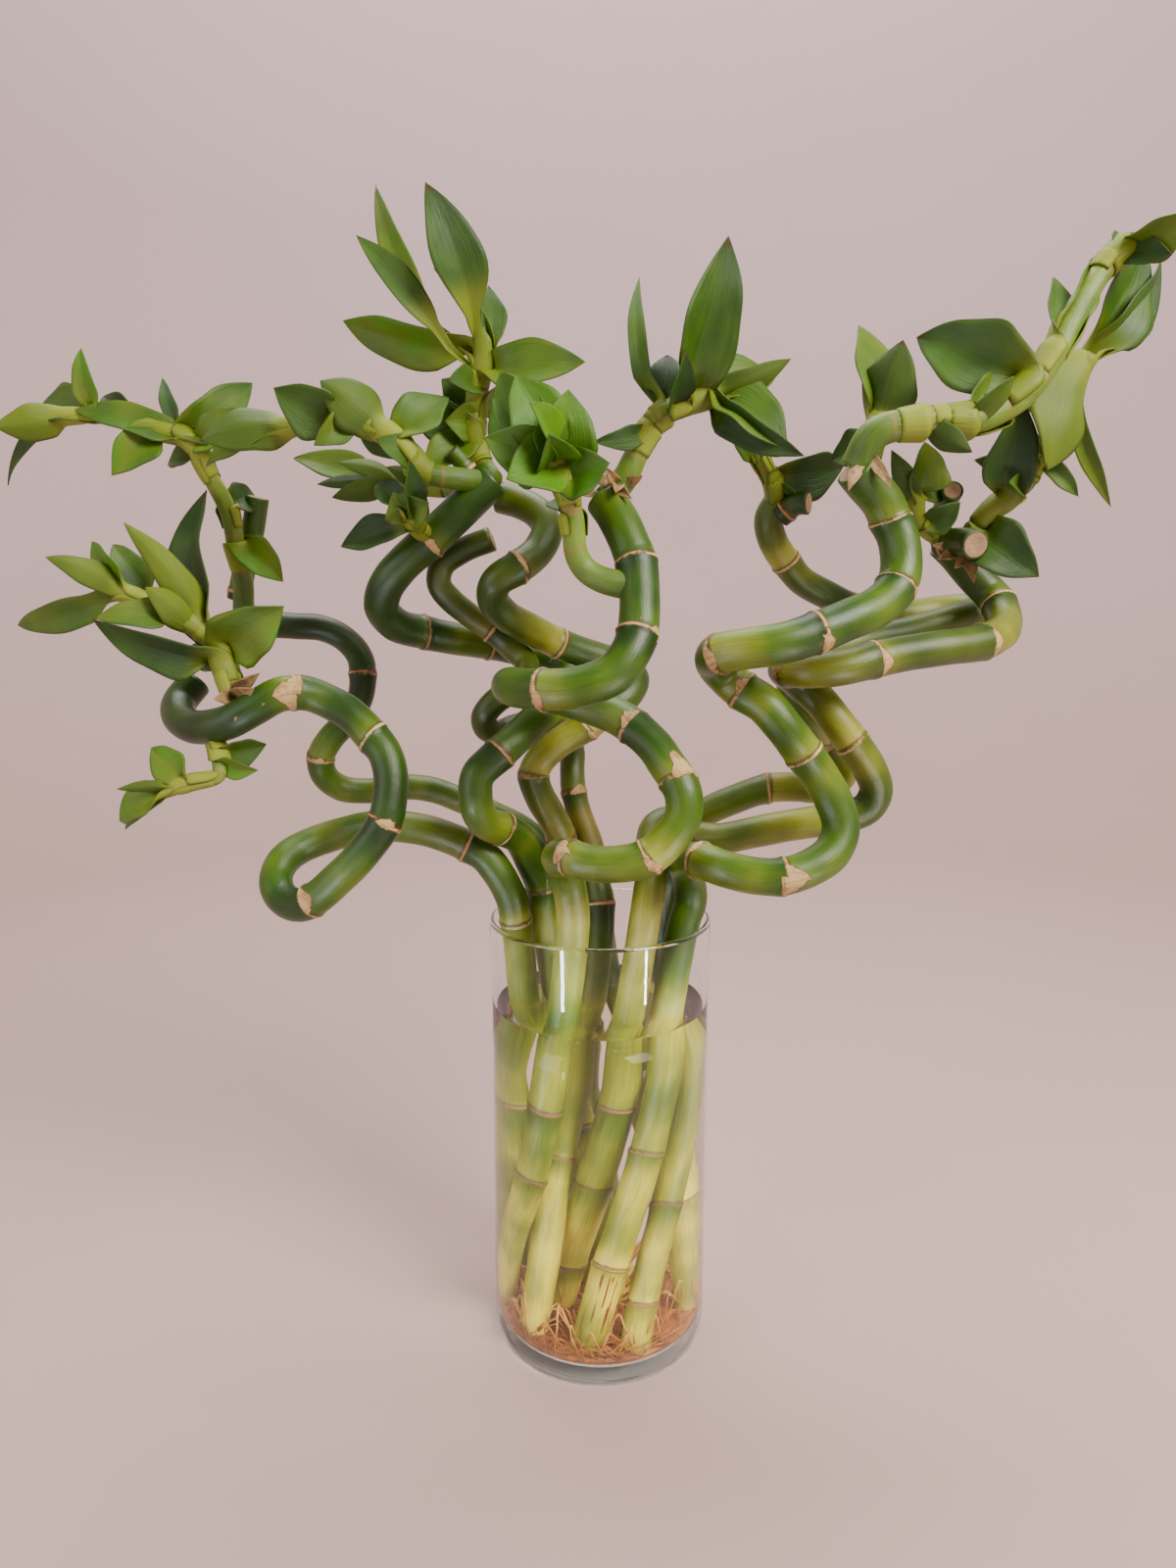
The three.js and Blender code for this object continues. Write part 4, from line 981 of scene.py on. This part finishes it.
leafColours = {
    "blade": [(0.0, (0.006, 0.030, 0.0008)), (0.3, (0.016, 0.062, 0.0012)),
              (0.6, (0.046, 0.122, 0.002)), (0.85, (0.105, 0.175, 0.003)),
              (1.0, (0.075, 0.23, 0.003))],
    "young": [(0.0, (0.018, 0.070, 0.001)), (0.5, (0.050, 0.160, 0.0015)),
              (1.0, (0.11, 0.28, 0.004))],
    "midrib": (0.06, 0.12, 0.003), "base": (0.17, 0.23, 0.009), "margin": (0.035, 0.08, 0.002),
    "dried": (0.06, 0.04, 0.008), "husk": (0.34, 0.23, 0.10), "roughness": 0.42, "shine": 0.34,
}
undersideColours = {
    "blade": [(0.0, (0.018, 0.050, 0.0015)), (0.5, (0.050, 0.105, 0.003)),
              (1.0, (0.12, 0.19, 0.005))],
    "young": [(0.0, (0.028, 0.09, 0.0015)), (0.5, (0.065, 0.18, 0.003)),
              (1.0, (0.14, 0.31, 0.006))],
    "midrib": (0.09, 0.13, 0.005), "base": (0.25, 0.31, 0.025), "margin": (0.06, 0.09, 0.004),
    "dried": (0.07, 0.045, 0.010), "husk": (0.40, 0.28, 0.13), "roughness": 0.5, "shine": 0.3,
}
stemLook = {
    "step": 1.6, "sides": 14, "lumps": 0.15, "budLength": 4, "budWidth": 0.3,
    "ringLean": 0.8, "farFromRing": 6,
    "skin": [(0.0, (0.010, 0.045, 0.0015)), (0.3, (0.042, 0.105, 0.003)),
             (0.6, (0.13, 0.235, 0.010)), (1.0, (0.41, 0.50, 0.07))],
    "line": (0.26, 0.14, 0.03),
    "tones": (0.45, 0.62, 0.7, 0.66, 0.6),
}


# Half-clasping at the base, widest before or past the middle, drawn out to a point
def bladeWidth(along, late):
    look = leafLook
    swell = math.sin(math.pi * along ** (look["widestAt"][0] + late)) ** look["roundness"]
    return look["swell"] * swell + look["baseWidth"] * (1 - along)


# Where the sheath lies on the stem, so far ahead of the leaf's base
def sheathPoint(stations, at, ahead, outside, outward, across, shade):
    step = stations[1].along - stations[0].along
    station = stations[clamp(at + round(ahead / step), 0, len(stations) - 1)]
    heading = station.heading
    side = squareTo(outside, heading).normalized()
    beside = heading.cross(side)
    if beside.dot(across) < 0:
        beside = -beside
    angle = outward * math.radians(leafLook["wrap"])
    radius = station.radius + 0.1 + 0.15 * shade  # so that two sheaths don't coincide
    radius += leafLook["flare"] * max(0, ahead + leafLook["sheath"])
    centre = station.centre + heading * (ahead - (station.along - stations[at].along))
    return centre + radius * (math.cos(angle) * side + math.sin(angle) * beside)


# A leaf: a flat grid whose first rows wrap the stem as a sheath and whose rest is bent
# between its base and its tip. Its upper side is the one that faces the stem
def addLeaf(bm, layer, stations, leaf, kind, seed):
    look = leafLook
    place, tip, width, turn = leaf[:4]
    neck = leaf[4] if len(leaf) > 4 else 0
    at = round(place * (len(stations) - 1))
    base = stations[at].centre
    axis = Vector(tip) - base
    length = axis.length * look["tipTrim"]
    axis.normalize()
    face = squareTo(viewerSide, axis).normalized()
    face.rotate(Matrix.Rotation(math.radians(turn), 3, axis))
    across = axis.cross(face)
    outside = squareTo(axis, stations[at].heading)
    outside = outside.normalized() if outside.length > 0.15 else -face  # unless along the stem
    upward = -1 if face.dot(outside) > 0.45 else 1

    random.seed(seed)
    bow = random.uniform(-1, 1) * look["bow"] * length
    phase = random.uniform(0, 6.28)
    shade = random.random() + kind
    late = random.uniform(0, look["widestAt"][1])
    clasping = kind != leafKinds["husk"]
    foot = min(look["sheath"] / length, look["sheathShare"]) if clasping else look["huskFoot"]

    sheet = bmesh.ops.create_grid(bm, x_segments=look["columns"], y_segments=look["rows"], size=0.5)
    for vert in sheet["verts"]:
        outward = vert.co.x * 2
        along = (vert.co.y + 0.5) * (1 + foot) - foot
        blade = max(0, along)
        past = (blade - neck) / (1 - neck)
        hump = math.sin(math.pi * blade)
        wide = bladeWidth(max(0, past), late)
        if past < 0:
            wide = look["neckWidth"] + (wide - look["neckWidth"]) * (blade / neck) ** 3
        uneven = 1 + look["uneven"] * math.sin(phase * 3 + blade * 11 + outward) * hump
        halfWidth = (width + look["fuller"]) / 2 * max(look["leastWidth"], wide) * uneven
        fold = look["fold"] * abs(outward) * (1 + look["baseFold"] * (1 - blade) ** 3)
        lift = upward * (fold + look["cup"] * outward * outward) * halfWidth
        ruffle = look["wave"] * width * outward * math.sin(phase + along * 9) * hump
        rise = length * (look["arch"] * hump - look["curl"] * blade ** 4)
        aside = outward * halfWidth * (1 - 0.12 * abs(outward) * (1 - blade)) + bow * hump
        flat = base + axis * (length * along) + across * aside + face * (rise + lift + ruffle)
        wrapped = sheathPoint(stations, at, along * length, outside, outward, across, shade)
        hold = 1 - clamp(along / look["clasp"]) if clasping else 0
        vert.co = flat.lerp(wrapped, ease(hold))
        vert[layer] = (outward, along if along < 0 else past, shade)
    faces = list({near for vert in sheet["verts"] for near in vert.link_faces})
    for near in faces:
        near.normal_update()
    if sum(near.normal.dot(face) for near in faces) * upward < 0:
        bmesh.ops.reverse_faces(bm, faces=faces)


def buildShoot(name, shoot):
    look = stemLook
    baseRadius, tipRadius = shoot["radii"]
    points = evenPoints([Vector(point) for point in shoot["stem"]], look["step"])[0]
    stations = stationsThrough(points)
    length = stations[-1].along
    slimming = (tipRadius - baseRadius) / length
    stations = [station._replace(radius=baseRadius + slimming * station.along)
                for station in stations]
    leaves = sorted(shoot["leaves"])
    places = [round(leaf[0] * (len(stations) - 1)) for leaf in leaves]
    rings = [stations[at].along - leafLook["sheath"] for at in places]

    bm = bmesh.new()
    layers = addLayers(bm, ["bladeSpace", "grain"], ["fromRing", "tone"])
    grown = [(leaf, shoot.get("fresh", 0), str(number)) for number, leaf in enumerate(leaves)]
    grown += [(husk, leafKinds["husk"], "husk" + str(number))
              for number, husk in enumerate(shoot.get("husks", []))]
    for leaf, kind, seed in grown:
        addLeaf(bm, layers["bladeSpace"], stations, leaf, kind, name + seed)
    bm.normal_update()
    lower = bm.faces[:]
    upper = bmesh.ops.extrude_face_region(bm, geom=lower, use_keep_orig=True)["geom"]
    for part in upper:
        if isinstance(part, bmesh.types.BMVert):
            part.co += part.normal * leafLook["thickness"]
    for face in lower:
        face.material_index = 1

    # the stem is widest at its foot and closes to a bud
    def reach(station, outward):
        lumps = look["lumps"] * noise.noise((station.centre + outward * 5) * 0.13)
        return (station.radius + lumps) * clamp((length - station.along) / look["budLength"],
                                                look["budWidth"])

    def note(vert, station, turn, outward):
        nearest = min([station.along - ring for ring in rings], key=abs)
        gap = clamp(nearest, -look["farFromRing"], look["farFromRing"])
        vert[layers["grain"]] = grainAt(station, turn)
        vert[layers["fromRing"]] = gap + look["ringLean"] * outward.dot(station.side)
        vert[layers["tone"]] = toneAlong(look["tones"], station.along / length)

    leafFaces = set(bm.faces)
    rolledTube(bm, stations, look["sides"], reach, note)
    capEnds(bm)
    for face in bm.faces:
        if face not in leafFaces:
            face.material_index = 2
    return bm


leafFinishes = [bladeFinish("leaf_top", leafColours), bladeFinish("leaf_back", undersideColours),
                stemFinish("soft_stem", stemLook)]
for shootName, shoot in shoots.items():
    finishPiece(shootName + "_leaves", toMetres(buildShoot(shootName, shoot)), leafFinishes,
                shootName)
print("shoots are in leaf")


# Roots: thin strands that leave each cut foot and tangle in a mat on the floor
rootLook = {
    "perCane": 30, "height": 26, "spread": 16,
    "matStrands": 190, "matReach": 43, "floor": 8.9,
    "sides": 5, "step": 2.6, "taper": 0.55, "thickness": (0.32, 0.75),
    "darkening": (0.027, 0.009),  # heights in metres
    "skin": [(0.0, (0.74, 0.42, 0.08)), (0.45, (0.44, 0.15, 0.012)), (1.0, (0.15, 0.036, 0.003))],
    "mat": [(0, 8.3), (43, 8.3), (43, 10.2), (41, 12.0), (34, 13.2), (20, 14.0), (0, 13.6)],
    "matSteps": 64, "matEdge": 6, "matFoot": 8.8, "matLumps": 1.4,
}


def keepInside(point):
    far = math.hypot(point.x, point.y)
    if far > rootLook["matReach"]:
        point.x *= rootLook["matReach"] / far
        point.y *= rootLook["matReach"] / far
    point.z = max(rootLook["floor"], point.z)
    return point


def addStrand(bm, points):
    stations = stationsThrough(evenPoints(points, rootLook["step"])[0])
    thick = random.uniform(*rootLook["thickness"])
    taper = rootLook["taper"] / stations[-1].along
    rolledTube(bm, stations, rootLook["sides"],
               lambda station, outward: thick * (1 - taper * station.along))


def buildRoots(look):
    bm = bmesh.new()
    random.seed(11)
    for cane in canes.values():
        foot = Vector(cane["route"][0][:3])
        for strand in range(look["perCane"]):
            turn = random.uniform(0, 2 * math.pi)
            out = Vector((math.cos(turn), math.sin(turn), 0))
            top = look["height"] * random.random() ** 1.6
            far = look["spread"] * random.uniform(0.35, 1)
            wind = Vector((-out.y, out.x, 0)) * random.uniform(-7, 7)
            # out of the foot, up, over and down on the mat
            points = [foot + out * 5.5 + Vector((0, 0, 4 + top * 0.5)),
                      foot + out * (8.5 + far * 0.25) + Vector((0, 0, 3.6 + top)),
                      foot + out * (8 + far * 0.6) + wind * 0.6 + Vector((0, 0, 3.6 + top * 0.55)),
                      foot + out * (9 + far) + wind + Vector((0, 0, random.uniform(3.6, 8)))]
            addStrand(bm, [keepInside(point) for point in points])
    for strand in range(look["matStrands"]):
        turn = random.uniform(0, 2 * math.pi)
        far = look["matReach"] * math.sqrt(random.uniform(0.05, 1))
        point = Vector((math.cos(turn) * far, math.sin(turn) * far, random.uniform(9, 15)))
        heading = turn + random.uniform(0.8, 2.4)
        points = [point]
        for bend in range(4):
            heading += random.uniform(-0.8, 0.9)
            step = Vector((math.cos(heading), math.sin(heading), 0)) * random.uniform(5, 10)
            point = keepInside(point + step)
            point.z = random.uniform(9, 17)
            points.append(point.copy())
        addStrand(bm, points)
    capEnds(bm)
    return bm


def buildMat(look):
    bm = turnedShape([(r * mm, z * mm) for r, z in look["mat"]], look["matSteps"])
    long = [edge for edge in bm.edges if edge.calc_length() > look["matEdge"] * mm]
    bmesh.ops.subdivide_edges(bm, edges=long, cuts=3, use_grid_fill=True)
    for vert in bm.verts:
        if vert.co.z > look["matFoot"] * mm:
            vert.co.z += look["matLumps"] * mm * noise.noise(vert.co * 160)
    return bm


rootSkin = rootFinish("root_skin", rootLook)
finishPiece("roots_tangle", toMetres(buildRoots(rootLook)), [rootSkin], "roots")
finishPiece("roots_mat", buildMat(rootLook), [rootSkin], "roots")
print("roots are laid")


# Vase and water
vaseLook = {
    "radius": 50, "height": 200, "wall": 2.7, "base": 8, "baseTop": 11,
    "footRound": 4.5, "innerRound": 4, "steps": 128,
    "waterLevel": 160, "meniscus": 1.2, "meniscusReach": 5,
    "wallGlass": {"colour": (0.97, 0.985, 0.98), "roughness": 0.0, "bending": 1.03,
                  "clearness": 1.0, "gloss": 0.8, "shade": (0.95, 0.96, 0.955)},
    "lipBending": 1.4,
    # the base is only partly clear and is milky grey, so the lamps light it up: painted light,
    # standing in for the light that inner reflections bring into thick glass
    "baseGlass": {"colour": (0.64, 0.67, 0.69), "roughness": 0.02, "bending": 1.45,
                  "clearness": 0.82, "gloss": 0.4, "shade": (0.93, 0.95, 0.94)},
    "water": {"colour": (0.97, 0.94, 0.83), "roughness": 0.0, "bending": 1.33,
              "clearness": 1.0, "gloss": 0.0, "shade": (0.97, 0.975, 0.93)},
}


# Part of a circle about a corner's centre, from one angle to another in degrees
def roundCorner(centre, radius, start, end, steps=6):
    turns = [math.radians(start + (end - start) * i / steps) for i in range(steps + 1)]
    x, z = centre
    return [(x + radius * math.cos(turn), z + radius * math.sin(turn)) for turn in turns]


def vaseOutline(look):
    outside, inside = look["radius"], look["radius"] - look["wall"]
    lip = look["wall"] / 2
    foot, hollow = look["footRound"], look["innerRound"]
    outline = [(0, 0.8), (outside - foot - 8, 0.5), (outside - foot - 2, 0.0)]
    outline += roundCorner((outside - foot, foot), foot, -90, 0)
    outline += [(outside, z) for z in range(20, 190, 20)]
    outline += roundCorner((outside - lip, look["height"] - lip), lip, 0, 180, 10)
    outline += [(inside, z) for z in range(180, 19, -20)]
    outline += roundCorner((inside - hollow, look["base"] + hollow), hollow, 0, -90)
    outline += [(30, look["base"]), (0, look["base"])]
    return [(r * mm, z * mm) for r, z in outline]


# A little into the glass and its base, and raised along the wall
def waterOutline(look):
    wall, base = look["radius"] - look["wall"] + 0.25, look["base"] - 0.2
    hollow, creep = look["innerRound"], look["meniscusReach"]
    level = look["waterLevel"] - look["meniscus"]
    outline = [(0, base), (wall - hollow, base)]
    outline += roundCorner((wall - hollow, base + hollow), hollow, -90, 0)
    outline += [(wall, z) for z in range(20, 160, 20)]
    outline += [(wall - creep + creep * i / 8, level + look["meniscus"] * (i / 8) ** 3)
                for i in range(8, -1, -1)]
    return [(r * mm, z * mm) for r, z in outline + [(0, level)]]


glasses = [clearFinish(name, look) for name, look in (
    ("wall_glass", vaseLook["wallGlass"]),
    ("base_glass", vaseLook["baseGlass"]),
    ("inner_glass", {**vaseLook["wallGlass"], "gloss": 0.0}),
    ("lip_glass", {**vaseLook["wallGlass"], "bending": vaseLook["lipBending"]}))]
vaseBody = turnedShape(vaseOutline(vaseLook), vaseLook["steps"])
for face in vaseBody.faces:
    middle = face.calc_center_median()
    if middle.z < vaseLook["baseTop"] * mm:
        face.material_index = 1
    elif middle.z > (vaseLook["height"] - vaseLook["wall"] / 2) * mm:
        face.material_index = 3
    elif middle.xy.length < (vaseLook["radius"] - 1) * mm:
        face.material_index = 2
finishPiece("vase_glass", vaseBody, glasses, "vase")
finishPiece("vase_water", turnedShape(waterOutline(vaseLook), vaseLook["steps"]),
            [clearFinish("still_water", vaseLook["water"])], "water")
print("vase is filled")


# Studio floor that curves up into a wall all round, and the light from the sky
def studioOutline(look):
    bend = look["wallReach"] - look["floorReach"]
    outline = [(0, 0)] + [(look["floorReach"] * i / 4, 0) for i in range(1, 5)]
    outline += roundCorner((look["floorReach"], bend), bend, -90, 0, 12)[1:]
    return outline + [(look["wallReach"], look["wallHeight"])]


studioBody = turnedShape(studioOutline(studioLook), studioLook["steps"])
bmesh.ops.reverse_faces(studioBody, faces=studioBody.faces)
finishPiece("studio_floor", studioBody, [studioFinish("studio_paper", studioLook)])

world = bpy.data.worlds.new("studioSky")
world.use_nodes = True
sky = world.node_tree.nodes["Background"]
sky.inputs["Color"].default_value = studioLook["skyColour"] + (1,)
sky.inputs["Strength"].default_value = studioLook["skyStrength"]
bpy.context.scene.world = world
print("studio is set")
